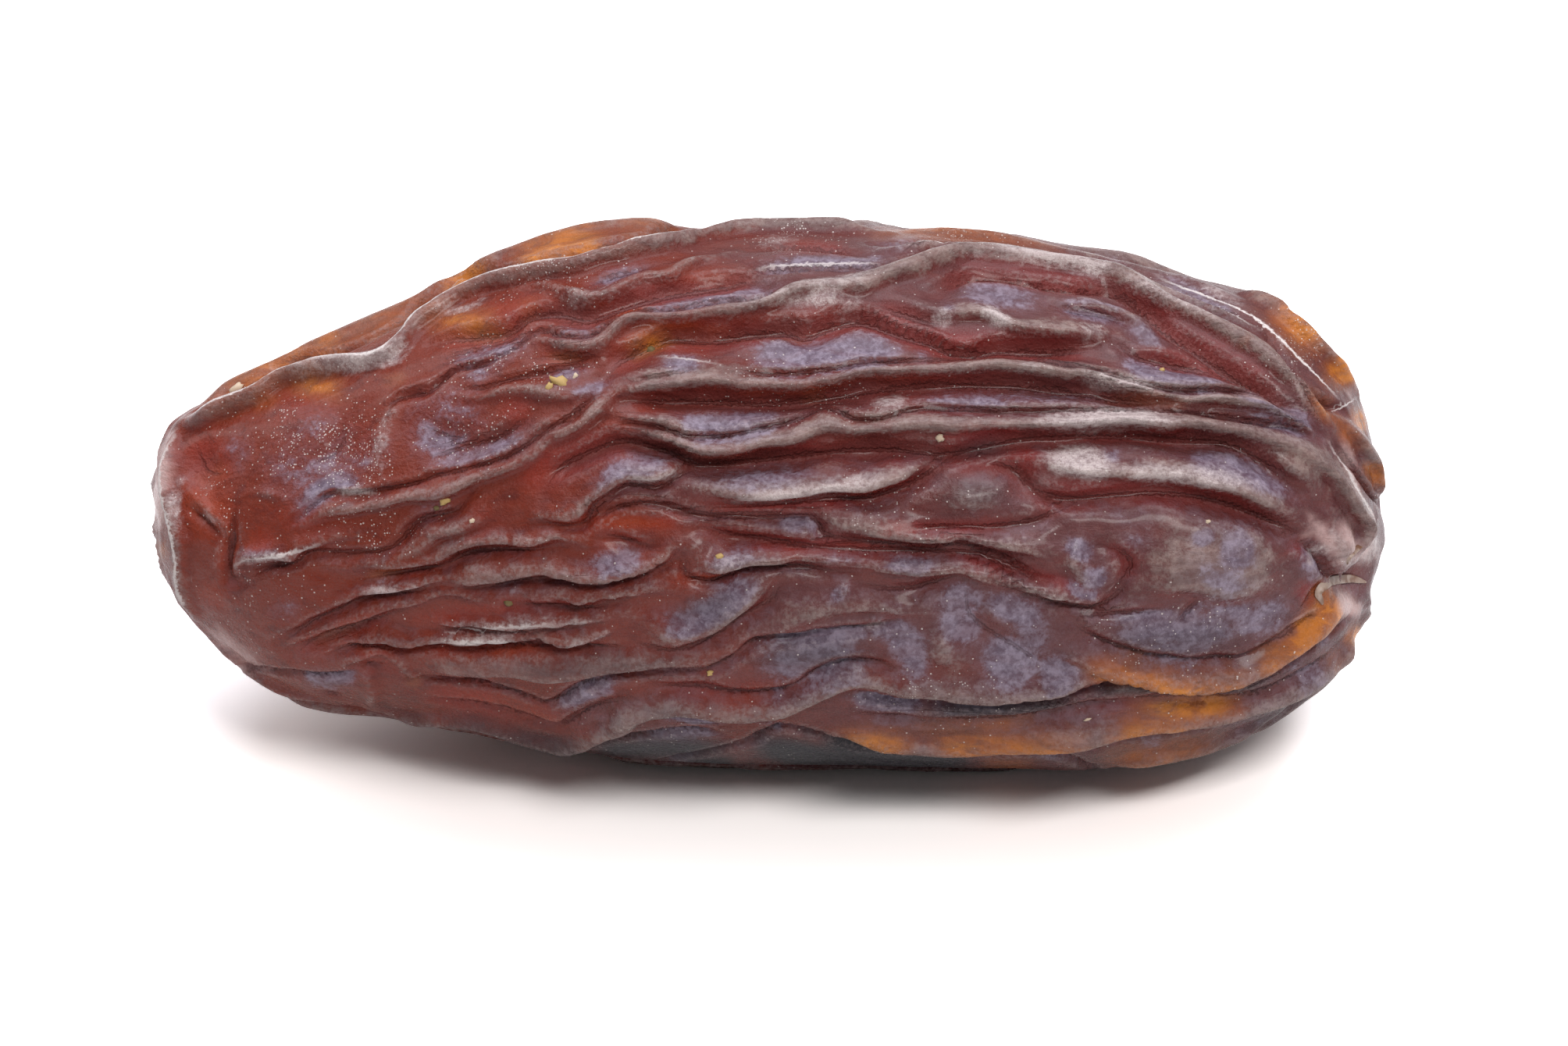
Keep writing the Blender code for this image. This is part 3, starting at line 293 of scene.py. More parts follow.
    "mottled hollow": ([(445, 530), (440, 570), (400, 600)], 0.80, -0.30),
    "pale hollow": ([(540, 545), (590, 560), (620, 550)], 0.80, -0.32),
    "left hollow": ([(545, 590), (600, 570), (640, 560), (690, 530)], 0.40, -0.30),
    "cheek crease": ([(302, 849), (350, 857), (400, 862), (440, 861), (464, 857)], 0.16, -0.34),
    "cheek arc": ([(438, 853), (457, 840), (490, 834), (513, 842), (527, 858), (536, 869)], 0.20, 0.28),
    "cheek pit": ([(465, 852), (495, 850)], 0.26, -0.32),
    "cheek post": ([(470, 863), (478, 885), (481, 905)], 0.30, 0.26),
    "cheek dent": ([(415, 888), (440, 890)], 0.35, -0.22),
    "chin": ([(262, 806), (312, 858), (362, 892), (430, 905)], 0.40, 0.30),

    # Around the stem scar
    "stem brow": ([(1690, 566), (1712, 600), (1732, 640), (1750, 672), (1752, 692)], 0.30, 0.35),
    "stem cheek": ([(1698, 665), (1708, 700), (1712, 722)], 0.75, 0.50),
    "stem lip crease": ([(1645, 694), (1662, 693), (1680, 714), (1698, 738), (1722, 742)], 0.20, -0.60),
    "stem pit": ([(1702, 742), (1735, 742)], 0.42, -0.80),
    "stem furrow": ([(1692, 745), (1674, 765), (1655, 786)], 0.32, -0.42),
    "side crease": ([(1692, 556), (1720, 588), (1746, 618), (1766, 646)], 0.20, -0.42),
    "side fold": ([(1702, 532), (1728, 560), (1752, 597), (1764, 630)], 0.34, 0.42),
    "pocket": ([(1668, 501), (1690, 512), (1714, 523)], 0.26, -0.60),
    "pocket crease": ([(1616, 420), (1632, 452), (1648, 485), (1670, 520), (1692, 548)], 0.20, -0.40),
}

# Folds of the far side: rows of folds and furrows in turn, laid end to end with a small overlap
FAR_SEED = 7
FAR_ROWS = 17
FAR_FROM, FAR_TO = math.radians(188.0), math.radians(354.0)
FAR_REACH = (-23.2, 23.8)
FAR_FIRST_START = (0.0, 9.0)
FAR_LENGTH = (11.0, 30.0)
FAR_SHORTEST = 6.0
FAR_OVERLAP = (1.0, 4.0)
FAR_POINTS = 14
# How far a row sways, in radians round the spindle, in how many waves, how fine its ripple is and how it drifts
FAR_SWAY = (0.04, 0.10)
FAR_WAVES = (0.5, 1.6)
FAR_RIPPLE, FAR_RIPPLE_SHARE = 19.0, 0.22
FAR_DRIFT = (-0.10, 0.10)
FAR_FOLD_WIDTH, FAR_FOLD_HEIGHT = (0.42, 0.70), (0.40, 0.70)
FAR_FURROW_WIDTH, FAR_FURROW_DEPTH = (0.26, 0.45), (0.45, 0.75)

# A fold's lower side is this much narrower than its half width, and its upper side as much wider
STEEPNESS = 0.42
# A fold's cross section follows a bell curve of this power, out to this many half widths
BELL_POWER, BELL_REACH = 2.5, 3.0
# Folds that meet are merged by this power
MERGE_POWER = 3.0
# A fold's ends keep this share of its height, and it grows to the whole over this length or part of its own
END_SHARE, END_LENGTH, END_PART = 0.30, 2.0, 0.45
# How fully the sides count as downhill, near the two skylines
SIDE_SLOPE = 1.6

# Puckers round the two ends: where the middle lies in the photograph, how many folds, their height, the
# radius at which they stand highest and how far they spread from it, then the middle's rise and radius
PUCKERS = {
    "stem scar": ((1742, 742), 9, 0.22, 3.2, 1.9, -0.75, 1.0),
    "blunt tip": ((208, 652), 11, 0.18, 2.8, 1.7, 0.08, 0.7),
}
# How unevenly the puckers lie, how much they curl as they run outward, and how deep their furrows are
PUCKER_UNEVEN, PUCKER_CURL, PUCKER_DEPTH = 1.3, 0.25, 1.6
# How far behind its middle, in mm along the view, a ring of puckers comes to its full height, and how suddenly
PUCKERS_BEHIND, PUCKERS_ONSET = 1.6, 2.0

# The scene's own grid of the skin: most of its rows are on the side that the camera sees
ROWS_ROUND = 330
ROWS_ALONG = 300
NEAR_SHARE = 0.64

# Paint: route in photograph pixels, half width in pixels and strength
# Bloom on the skin, with painted sheen: the reflection of the light on slopes that face up
BLOOM_AND_SHEEN = (
    ([(360, 550), (410, 548), (440, 522)], 17, 0.50), ([(330, 600), (400, 600), (430, 565), (445, 530)], 22, 0.52),
    ([(440, 600), (480, 580), (500, 550)], 14, 0.55), ([(285, 570), (330, 590)], 14, 0.50), ([(520, 556), (560, 552), (630, 556)], 22, 0.75),
    ([(570, 478), (600, 462), (650, 448), (695, 428)], 11, 0.70), ([(590, 484), (645, 474)], 10, 0.60),
    ([(530, 560), (580, 545), (640, 540)], 26, 0.65), ([(600, 580), (650, 560)], 16, 0.50), ([(545, 598), (600, 586), (650, 570), (692, 546)], 10, 0.60),
    ([(388, 668), (404, 640), (432, 618), (475, 616)], 9, 0.85), ([(533, 668), (558, 648), (600, 632)], 8, 0.60),
    ([(305, 725), (330, 710), (372, 706)], 6, 0.60), ([(350, 770), (370, 780), (392, 766)], 9, 0.50),
    ([(385, 869), (430, 870), (466, 863)], 8, 0.80), ([(475, 750), (520, 743)], 5, 0.40),
    ([(712, 906), (745, 889), (800, 871)], 10, 0.80),
    ([(752, 373), (780, 361), (815, 350), (836, 342)], 6, 0.75),
    ([(700, 422), (722, 426), (762, 426), (788, 407)], 9, 0.60),
    ([(815, 398), (850, 397), (900, 384), (940, 380), (985, 376), (1005, 362)], 10, 0.75),
    ([(958, 341), (985, 345), (1040, 338), (1100, 339), (1150, 332)], 7, 0.75),
    ([(955, 455), (1000, 458), (1060, 454), (1120, 452), (1160, 450)], 17, 0.90),
    ([(1160, 456), (1195, 459)], 9, 0.50), ([(845, 468), (880, 470), (902, 465)], 7, 0.80),
    ([(705, 495), (725, 481), (745, 482), (760, 490)], 9, 0.60), ([(728, 506), (752, 504), (790, 490)], 7, 0.60),
    ([(865, 540), (900, 550), (950, 546), (1005, 537)], 11, 0.90),
    ([(1170, 505), (1220, 512), (1300, 510), (1380, 508), (1430, 505)], 12, 0.45),
    ([(1165, 518), (1220, 519), (1300, 521)], 5, 0.80), ([(1110, 318), (1140, 318), (1185, 314)], 6, 0.60),
    ([(1215, 394), (1240, 380), (1300, 383), (1340, 388)], 12, 0.75),
    ([(1345, 392), (1380, 402), (1420, 406), (1445, 415)], 8, 0.90),
    ([(1440, 412), (1465, 432), (1478, 458)], 10, 0.80), ([(1200, 405), (1225, 400)], 9, 0.60),
    ([(1432, 450), (1450, 470), (1470, 481), (1500, 488), (1540, 493), (1568, 501)], 10, 1.00),
    ([(1470, 360), (1530, 385), (1592, 410)], 9, 0.65), ([(1400, 335), (1450, 350)], 8, 0.40),
    ([(1565, 518), (1610, 527), (1650, 541), (1682, 556)], 10, 1.00),
    ([(1500, 588), (1550, 596), (1600, 608), (1650, 640)], 13, 0.70), ([(1400, 586), (1432, 583)], 8, 0.50),
    ([(1210, 642), (1250, 646), (1300, 648)], 9, 0.50), ([(1120, 722), (1160, 726), (1200, 726)], 7, 0.80),
    ([(1040, 716), (1080, 718), (1120, 722)], 6, 0.50), ([(1238, 742), (1232, 772), (1226, 808), (1222, 824)], 17, 0.95),
    ([(1250, 752), (1290, 780), (1345, 806)], 13, 0.80), ([(1345, 815), (1315, 822), (1285, 846), (1262, 872)], 19, 0.95),
    ([(1352, 826), (1345, 858), (1325, 870)], 17, 0.85), ([(1374, 724), (1386, 745), (1402, 742), (1416, 748)], 12, 1.00),
    ([(1384, 688), (1372, 716)], 11, 0.85), ([(1420, 700), (1450, 690), (1470, 676)], 9, 0.45), ([(1410, 670), (1450, 666), (1480, 682)], 11, 0.30),
    ([(1528, 672), (1535, 695)], 10, 0.75), ([(1545, 700), (1580, 700), (1602, 696)], 16, 0.85),
    ([(1580, 715), (1562, 755), (1545, 795)], 30, 0.95), ([(1480, 812), (1540, 808), (1590, 790)], 14, 0.80), ([(1410, 806), (1450, 806), (1510, 805), (1550, 812)], 17, 0.85),
    ([(1440, 822), (1500, 832), (1560, 830)], 12, 0.75), ([(1560, 805), (1615, 788), (1645, 758)], 14, 0.80), ([(1430, 790), (1470, 787), (1495, 784)], 5, 0.70),
    ([(1650, 705), (1672, 726), (1664, 745)], 12, 0.75), ([(1105, 806), (1142, 806), (1164, 832), (1180, 868)], 13, 0.95),
    ([(985, 824), (1030, 818), (1080, 812), (1120, 806)], 8, 1.00),
    ([(960, 846), (1020, 848), (1080, 838), (1120, 826)], 20, 0.75), ([(985, 878), (1010, 884)], 10, 0.60), ([(1086, 893), (1130, 900), (1182, 906)], 9, 0.95),
    ([(1182, 906), (1250, 906), (1320, 900)], 8, 0.55), ([(1330, 961), (1370, 962)], 6, 0.85),
    ([(842, 910), (872, 915), (930, 921)], 6, 0.80), ([(978, 926), (1008, 934)], 6, 0.60),
    ([(805, 952), (850, 943), (900, 940), (932, 946)], 9, 0.65), ([(850, 972), (900, 974)], 6, 0.60),
    ([(1000, 945), (960, 960)], 9, 0.45), ([(1450, 952), (1492, 946)], 9, 0.45), ([(1560, 927), (1640, 910)], 9, 0.35),
    ([(1640, 852), (1664, 846)], 9, 0.50), ([(1680, 830), (1702, 815)], 9, 0.50), ([(1650, 882), (1695, 846)], 7, 0.50),
    ([(770, 640), (790, 608), (820, 600), (850, 596), (872, 584)], 11, 0.65), ([(790, 602), (845, 602)], 10, 0.50),
    ([(900, 616), (950, 616), (1000, 612), (1050, 605)], 9, 0.55), ([(990, 673), (1030, 669), (1050, 682)], 7, 0.75),
    ([(940, 681), (1000, 681), (1080, 690)], 8, 0.30), ([(750, 716), (790, 719), (832, 711)], 11, 0.65),
    ([(895, 712), (915, 722), (950, 715), (985, 709)], 9, 0.60),
    ([(840, 788), (880, 794), (920, 774), (960, 746), (982, 736)], 12, 0.75), ([(1070, 745), (1080, 766)], 11, 0.60),
    ([(640, 756), (672, 756)], 8, 0.40), ([(520, 530), (545, 540)], 10, 0.30),
)
# Painted glints: grainy white highlights along the crests
PAINTED_GLINTS = (
    ([(1320, 540), (1380, 540), (1440, 535), (1500, 542)], 8, 1.00), ([(1330, 592), (1370, 590), (1420, 602)], 15, 0.90),
    ([(1420, 604), (1480, 606), (1540, 610), (1600, 622)], 10, 0.70), ([(1262, 328), (1320, 338), (1380, 350), (1430, 362)], 4, 0.75),
    ([(1430, 366), (1470, 382), (1510, 402), (1560, 426)], 4, 0.60), ([(1250, 403), (1272, 411), (1292, 425)], 7, 0.90),
    ([(1188, 406), (1220, 413)], 8, 0.60), ([(1370, 430), (1412, 430)], 7, 0.50), ([(1115, 522), (1160, 510)], 9, 0.70),
    ([(1370, 481), (1420, 491), (1475, 501)], 6, 0.75), ([(1290, 472), (1345, 476)], 6, 0.45),
    ([(1000, 380), (1040, 372), (1090, 366), (1130, 358)], 8, 0.55), ([(1060, 395), (1110, 384)], 9, 0.40), ([(560, 813), (640, 812), (705, 816)], 4, 0.60),
    ([(560, 797), (700, 793), (785, 789)], 4, 0.50), ([(700, 816), (740, 818), (795, 800)], 5, 0.50),
    ([(930, 640), (1000, 629), (1060, 623), (1135, 611)], 7, 0.70), ([(800, 612), (850, 611), (880, 597)], 6, 0.60),
    ([(470, 755), (525, 750)], 5, 0.70), ([(430, 630), (492, 629)], 4, 0.80), ([(310, 718), (350, 711), (385, 714)], 6, 0.85),
    ([(520, 515), (501, 545), (490, 590), (500, 622)], 9, 0.36), 
    ([(1630, 425), (1642, 448)], 3, 0.55), ([(1742, 676), (1757, 700), (1742, 724)], 11, 1.00),
    ([(236, 606), (230, 640), (236, 690)], 5, 0.60), ([(1160, 298), (1260, 304)], 3, 0.50),
    ([(1490, 356), (1550, 376), (1600, 396)], 3, 0.60), ([(420, 478), (470, 476), (515, 464), (536, 440)], 3, 0.60),
    ([(560, 405), (612, 393), (630, 375)], 4, 0.60), ([(700, 375), (740, 385), (790, 372)], 5, 0.40),
    ([(960, 312), (1030, 306)], 7, 0.40), ([(640, 792), (720, 790)], 6, 0.40), ([(1100, 806), (1140, 795)], 5, 0.50),
    ([(640, 690), (720, 684)], 4, 0.40), ([(900, 726), (960, 712)], 6, 0.45), ([(1300, 752), (1380, 766)], 6, 0.45),
    ([(1660, 720), (1700, 690)], 7, 0.60), ([(930, 482), (1000, 488)], 6, 0.30), ([(500, 756), (560, 744)], 4, 0.50),
    ([(385, 478), (450, 468), (500, 462), (528, 436)], 7, 0.85), ([(1690, 668), (1706, 700), (1722, 722)], 9, 0.45),
    ([(930, 400), (985, 388), (1030, 382)], 7, 0.50), ([(1000, 392), (1048, 386), (1090, 382)], 9, 0.55), ([(1700, 720), (1735, 712), (1750, 690)], 6, 0.8), ([(330, 470), (380, 484), (420, 474)], 4, 0.6),
)
# Thin skin where the flesh shows through, painted as lit from behind so that it glows
AMBER = (
    ([(260, 528), (300, 505), (360, 472), (430, 440)], 16, 0.70), ([(385, 462), (420, 446), (460, 430)], 10, 0.70),
    ([(430, 440), (500, 405), (575, 366)], 16, 0.60), ([(555, 385), (600, 352), (640, 330)], 14, 0.85),
    ([(650, 345), (690, 330), (740, 316), (790, 305)], 13, 1.00), ([(640, 330), (700, 305), (780, 288)], 14, 0.75),
    ([(780, 300), (840, 290), (890, 293)], 14, 0.62), ([(745, 338), (800, 326), (840, 316)], 6, 0.35),
    ([(372, 500), (410, 494), (450, 502)], 12, 0.78), ([(320, 524), (370, 508)], 9, 0.45),
    ([(545, 416), (600, 412), (650, 420)], 11, 0.75), ([(490, 492), (530, 486)], 7, 0.40),
    ([(660, 400), (700, 390)], 10, 0.30), ([(700, 460), (750, 459)], 5, 0.45), ([(805, 452), (832, 436), (868, 430)], 9, 0.75),
    ([(940, 434), (1000, 428), (1060, 432)], 4, 0.40), ([(470, 738), (520, 730)], 7, 0.50),
    ([(395, 835), (430, 815), (480, 795)], 7, 0.35), ([(1110, 296), (1200, 298), (1300, 306), (1370, 322)], 10, 0.65),
    ([(1405, 508), (1450, 513), (1520, 522)], 8, 0.35), ([(1020, 510), (1060, 502)], 6, 0.30),
    ([(1378, 846), (1405, 856), (1460, 866), (1520, 868)], 12, 1.05), ([(1460, 866), (1550, 869), (1605, 856)], 9, 1.05),
    ([(1595, 853), (1640, 828), (1682, 800)], 8, 1.15), ([(1635, 824), (1660, 815)], 7, 1.00),
    ([(1678, 800), (1698, 780), (1716, 768)], 12, 1.30), ([(1680, 772), (1712, 764)], 12, 1.20),
    ([(1672, 768), (1688, 752)], 6, 0.60), ([(1420, 830), (1480, 846)], 6, 0.50), ([(1066, 932), (1110, 939), (1180, 947)], 8, 0.95),
    ([(1180, 944), (1250, 947), (1320, 944), (1400, 934)], 9, 0.88), ([(1150, 932), (1240, 934), (1330, 922)], 6, 0.60),
    ([(1400, 932), (1480, 925), (1540, 915)], 11, 0.85), ([(1430, 912), (1545, 902), (1598, 892)], 8, 0.85),
    ([(1722, 828), (1735, 810), (1742, 798)], 7, 1.00), ([(1250, 980), (1330, 982)], 12, 0.60),
    ([(1400, 970), (1460, 966), (1530, 958), (1575, 945)], 16, 0.65), ([(1622, 384), (1655, 400), (1680, 424), (1702, 450)], 20, 1.20),
    ([(1702, 450), (1722, 472), (1736, 496)], 18, 1.20), ([(1664, 502), (1684, 520), (1700, 545)], 9, 0.8), ([(1735, 520), (1742, 560)], 9, 1.00), ([(1702, 540), (1728, 568)], 7, 0.55),
    ([(1745, 586), (1758, 618)], 7, 0.85), ([(1676, 506), (1706, 524)], 7, 0.50), ([(206, 690), (212, 718)], 7, 0.65),
    ([(520, 868), (545, 876)], 6, 0.40), ([(1690, 858), (1715, 830)], 8, 0.40), ([(1578, 440), (1592, 448)], 7, 0.35),
    ([(1395, 858), (1440, 872)], 6, 0.50), ([(640, 322), (620, 345)], 6, 0.40),
    ([(1690, 516), (1712, 548), (1735, 585)], 7, 0.60), ([(1752, 596), (1764, 628)], 6, 0.80), ([(1655, 815), (1690, 792), (1708, 780)], 11, 1.7),
)
# Painted glow: light through the red flesh under the skin
GLOW = (
    ([(238, 562), (262, 590), (285, 610)], 18, 0.80), ([(330, 530), (380, 520), (440, 510)], 14, 0.55),
    ([(440, 540), (470, 560), (450, 600)], 20, 0.35), ([(560, 430), (620, 424), (680, 398), (720, 402)], 16, 0.75),
    ([(740, 410), (800, 392), (860, 376), (920, 366), (970, 370)], 11, 0.80), ([(640, 530), (690, 520)], 14, 0.60),
    ([(690, 462), (770, 462)], 8, 0.60), ([(785, 478), (812, 450), (850, 432), (930, 430), (1010, 422)], 14, 0.85),
    ([(1010, 422), (1090, 410), (1140, 420), (1200, 438), (1290, 444), (1390, 448)], 11, 0.90),
    ([(1110, 395), (1180, 410)], 9, 0.70), ([(1205, 368), (1240, 352), (1310, 358), (1420, 372)], 11, 0.70),
    ([(1420, 372), (1500, 420), (1570, 460), (1640, 515)], 10, 0.60), ([(1440, 455), (1530, 466), (1600, 500)], 9, 0.65),
    ([(800, 518), (900, 508), (1000, 512), (1150, 494), (1290, 490)], 11, 0.60),
    ([(660, 620), (710, 600), (760, 575), (830, 570)], 18, 0.80), ([(900, 592), (1050, 578), (1190, 584)], 9, 0.75),
    ([(1200, 582), (1260, 575), (1300, 585), (1310, 615)], 18, 1.30), ([(1300, 562), (1400, 556), (1540, 560)], 7, 0.85),
    ([(1320, 628), (1420, 632), (1540, 638), (1620, 668)], 10, 0.90), ([(1310, 655), (1360, 645), (1420, 642)], 12, 0.60),
    ([(1110, 672), (1210, 676), (1300, 672)], 7, 0.80), ([(900, 648), (1010, 646), (1100, 640), (1190, 605)], 7, 0.80),
    ([(700, 670), (750, 672), (830, 668), (890, 668)], 9, 0.70), ([(770, 688), (835, 700)], 9, 0.75),
    ([(900, 676), (960, 690), (1050, 701), (1200, 708)], 8, 0.90), ([(1200, 708), (1290, 728), (1380, 752), (1410, 765)], 6, 0.80),
    ([(1402, 700), (1440, 712), (1430, 745)], 9, 0.65), ([(640, 705), (700, 703)], 7, 0.55), ([(480, 742), (560, 728)], 8, 0.55),
    ([(440, 760), (560, 740)], 5, 0.45), ([(380, 838), (430, 815), (500, 784)], 10, 0.85), ([(520, 800), (640, 778), (760, 778)], 9, 0.55),
    ([(440, 832), (560, 826), (760, 828)], 6, 0.70), ([(540, 890), (620, 904), (690, 922), (750, 912)], 15, 0.70),
    ([(450, 850), (500, 852), (520, 875)], 9, 0.55), ([(840, 876), (940, 884), (1010, 878)], 9, 0.60),
    ([(1660, 775), (1685, 748)], 13, 0.95), ([(1640, 690), (1690, 735)], 9, 0.60), ([(1100, 340), (1060, 320), (980, 320)], 8, 0.55),
    ([(1600, 890), (1480, 895), (1380, 905)], 10, 0.60), ([(1720, 590), (1750, 628)], 9, 0.60), ([(1700, 690), (1712, 720)], 9, 0.45),
    ([(300, 660), (298, 720), (310, 738)], 10, 0.65), ([(250, 770), (300, 760)], 14, 0.50), ([(340, 660), (420, 668), (480, 662)], 14, 0.40),
    ([(860, 740), (900, 742), (950, 732)], 7, 0.65), ([(1690, 680), (1690, 700)], 8, 0.30), ([(640, 640), (600, 690)], 16, 0.40),
    ([(540, 885), (600, 892), (660, 902)], 12, 0.9), ([(250, 590), (262, 640), (300, 690)], 22, 0.7), ([(320, 690), (360, 700)], 14, 0.6), ([(262, 560), (268, 600), (275, 625)], 17, 1.3),
)
# Painted shade, most of it on the underside near the sheet
PAINTED_SHADE = (
    ([(1040, 950), (1150, 968), (1250, 976)], 12, 1.10), ([(960, 952), (1060, 972), (1200, 990)], 14, 1.10),
    ([(1020, 935), (1050, 948)], 10, 0.50), ([(1180, 912), (1300, 908), (1380, 900)], 8, 0.70),
    ([(1380, 886), (1450, 880), (1540, 884), (1620, 870)], 8, 0.70), ([(1600, 930), (1650, 918), (1700, 880)], 14, 0.70),
    ([(1395, 985), (1420, 998)], 8, 0.80), ([(1400, 815), (1500, 822), (1600, 812)], 16, 0.40), ([(820, 900), (900, 900)], 8, 0.40),
    ([(740, 962), (840, 958), (940, 960)], 13, 0.90), ([(860, 985), (950, 980)], 12, 1.10), ([(560, 935), (640, 945), (700, 958)], 10, 0.30),
    ([(560, 915), (640, 930), (740, 955), (860, 975)], 10, 0.60), ([(920, 990), (1060, 998), (1250, 1002)], 11, 1.20),
    ([(480, 905), (540, 918), (600, 930)], 7, 0.40), ([(1250, 1000), (1380, 1000), (1480, 985)], 8, 0.60),
    ([(1215, 585), (1255, 575), (1295, 580)], 15, 0.50), ([(1185, 635), (1240, 630), (1300, 632)], 15, 0.42),
    ([(660, 842), (780, 840), (900, 845)], 12, 0.40), ([(960, 835), (1040, 838), (1120, 830)], 16, 0.46),
    ([(850, 788), (905, 775), (960, 765)], 12, 0.42), ([(1060, 968), (1150, 972), (1240, 972)], 12, 1.30),
    ([(195, 660), (210, 720), (240, 790)], 10, 0.15), ([(480, 800), (560, 798), (640, 800)], 5, 0.20),
)
PALE = (
    ([(203, 590), (201, 640), (204, 680)], 15, 1.20), ([(214, 565), (222, 550)], 10, 0.70), ([(230, 700), (232, 750), (238, 775)], 4, 0.60),
    ([(262, 652), (285, 672)], 7, 0.55), ([(262, 800), (300, 835), (345, 865)], 14, 0.58), ([(1705, 782), (1725, 775), (1740, 790)], 12, 0.95),
    ([(1700, 800), (1660, 832), (1610, 862)], 3, 0.90), ([(1735, 640), (1752, 672), (1757, 690)], 5, 0.85),
    ([(1740, 700), (1752, 716)], 9, 0.85), ([(1742, 660), (1748, 700), (1740, 730)], 10, 0.70), ([(1690, 690), (1715, 690), (1722, 725)], 14, 0.60), ([(1732, 490), (1722, 512)], 6, 0.50),
    ([(1562, 505), (1620, 518), (1660, 540)], 3, 0.60), ([(1704, 660), (1716, 690), (1727, 716)], 12, 0.70),
    ([(330, 870), (365, 893)], 9, 0.40), ([(1764, 640), (1770, 660)], 8, 0.60), ([(1658, 694), (1690, 660)], 8, 0.35),
    ([(1664, 650), (1690, 690), (1712, 728)], 9, 0.55), ([(1640, 800), (1690, 778)], 3, 0.5), ([(214, 560), (213, 600), (212, 645)], 10, 1.1), ([(1712, 565), (1722, 600), (1732, 640)], 9, 0.60),
)
# Painted rim light: thin bright lines along the edges of folds
PAINTED_RIM_LIGHTS = (
    ([(236, 542), (275, 533), (325, 513), (360, 494), (400, 478), (440, 469), (490, 463), (518, 439), (542, 415),
      (578, 389), (622, 369), (680, 355), (740, 343), (800, 329), (870, 313), (930, 301), (1000, 295), (1060, 297)], 2.2, 0.9),
    ([(1120, 322), (1190, 319), (1260, 321), (1320, 328), (1390, 345), (1450, 364), (1510, 386), (1560, 404), (1605, 424)], 2.2, 0.8),
    ([(1475, 356), (1512, 370), (1560, 386), (1602, 407), (1634, 434), (1666, 468), (1694, 496), (1712, 516)], 2.2, 1.0),
    ([(1690, 561), (1712, 600), (1732, 640), (1750, 672), (1757, 690)], 3, 0.8), ([(1700, 528), (1715, 522), (1737, 508)], 2, 0.8),
    ([(234, 548), (223, 580), (220, 620), (228, 660), (236, 700), (239, 745), (250, 790)], 2.4, 0.8),
    ([(1555, 926), (1592, 912)], 2, 0.8), ([(880, 852), (930, 848)], 2, 0.5),
    ([(300, 724), (330, 712), (360, 708), (400, 700), (420, 692)], 3, 0.7), ([(560, 812), (640, 812), (705, 815)], 2, 0.6),
    ([(580, 799), (640, 795), (720, 790)], 2, 0.5), ([(960, 345), (1040, 341), (1130, 341)], 2.5, 0.6),
    ([(842, 459), (900, 466), (926, 472)], 2.0, 0.5), ([(1610, 862), (1660, 832), (1700, 800), (1722, 776)], 2.5, 0.9),
)
SUGAR = (
    ([(340, 560), (420, 580), (500, 600)], 60, 1.0), ([(420, 640), (520, 680)], 50, 0.9), ([(560, 450), (640, 470), (740, 480)], 40, 0.6),
    ([(300, 740), (400, 760)], 45, 0.5), ([(640, 370), (760, 360)], 30, 0.7), ([(240, 600), (300, 700)], 45, 0.4),
    ([(560, 560), (680, 540)], 40, 0.5), ([(960, 310), (1080, 305)], 25, 0.7), ([(1640, 430), (1680, 470)], 40, 0.8),
    ([(920, 480), (1160, 520)], 30, 0.5), ([(1100, 890), (1300, 890)], 30, 0.35), ([(800, 925), (1000, 925)], 30, 0.3),
    ([(1180, 300), (1300, 310)], 25, 0.6), ([(1060, 640), (1240, 660)], 40, 0.2), ([(1400, 860), (1600, 800)], 60, 0.3),
)

# How far a fold's top leans over the furrow below it, for each millimetre of its height
LEAN = 0.40

# A fold's width and height swell and shrink by these shares along it, and its course wavers by this in mm
WIDTH_VARIES, HEIGHT_VARIES, COURSE_WAVERS = 0.40, 0.35, 0.16

# How far from a drawn line its distance is kept, in the line's half widths
LINE_REACH = 6.0

# The length in pixels over which a brush stroke's two ends fade
STROKE_END = 60.0


def through(points, per_span):
    """A smooth curve through the points, with per_span steps between each pair (Catmull-Rom)."""
    points = np.asarray(points, float)
    held = np.vstack([2 * points[0] - points[1], points, 2 * points[-1] - points[-2]])
    before, start, end, after = held[:-3, None], held[1:-2, None], held[2:-1, None], held[3:, None]
    t = np.linspace(0.0, 1.0, per_span, endpoint=False)[None, :, None]
    curve = 0.5 * (2 * start + (end - before) * t + (2 * before - 5 * start + 4 * end - after) * t**2
                   + (3 * start - before - 3 * end + after) * t**3)
    return np.vstack([curve.reshape(-1, points.shape[1]), points[-1:]])


OUTLINE = through(SPINDLE, OUTLINE_STEPS)
OUTLINE[:, 1] = np.maximum(OUTLINE[:, 1], 0.0)
ALONG = np.concatenate([[0.0], np.cumsum(np.linalg.norm(np.diff(OUTLINE[:, :2], axis=0), axis=1))])
ALONG /= ALONG[-1]


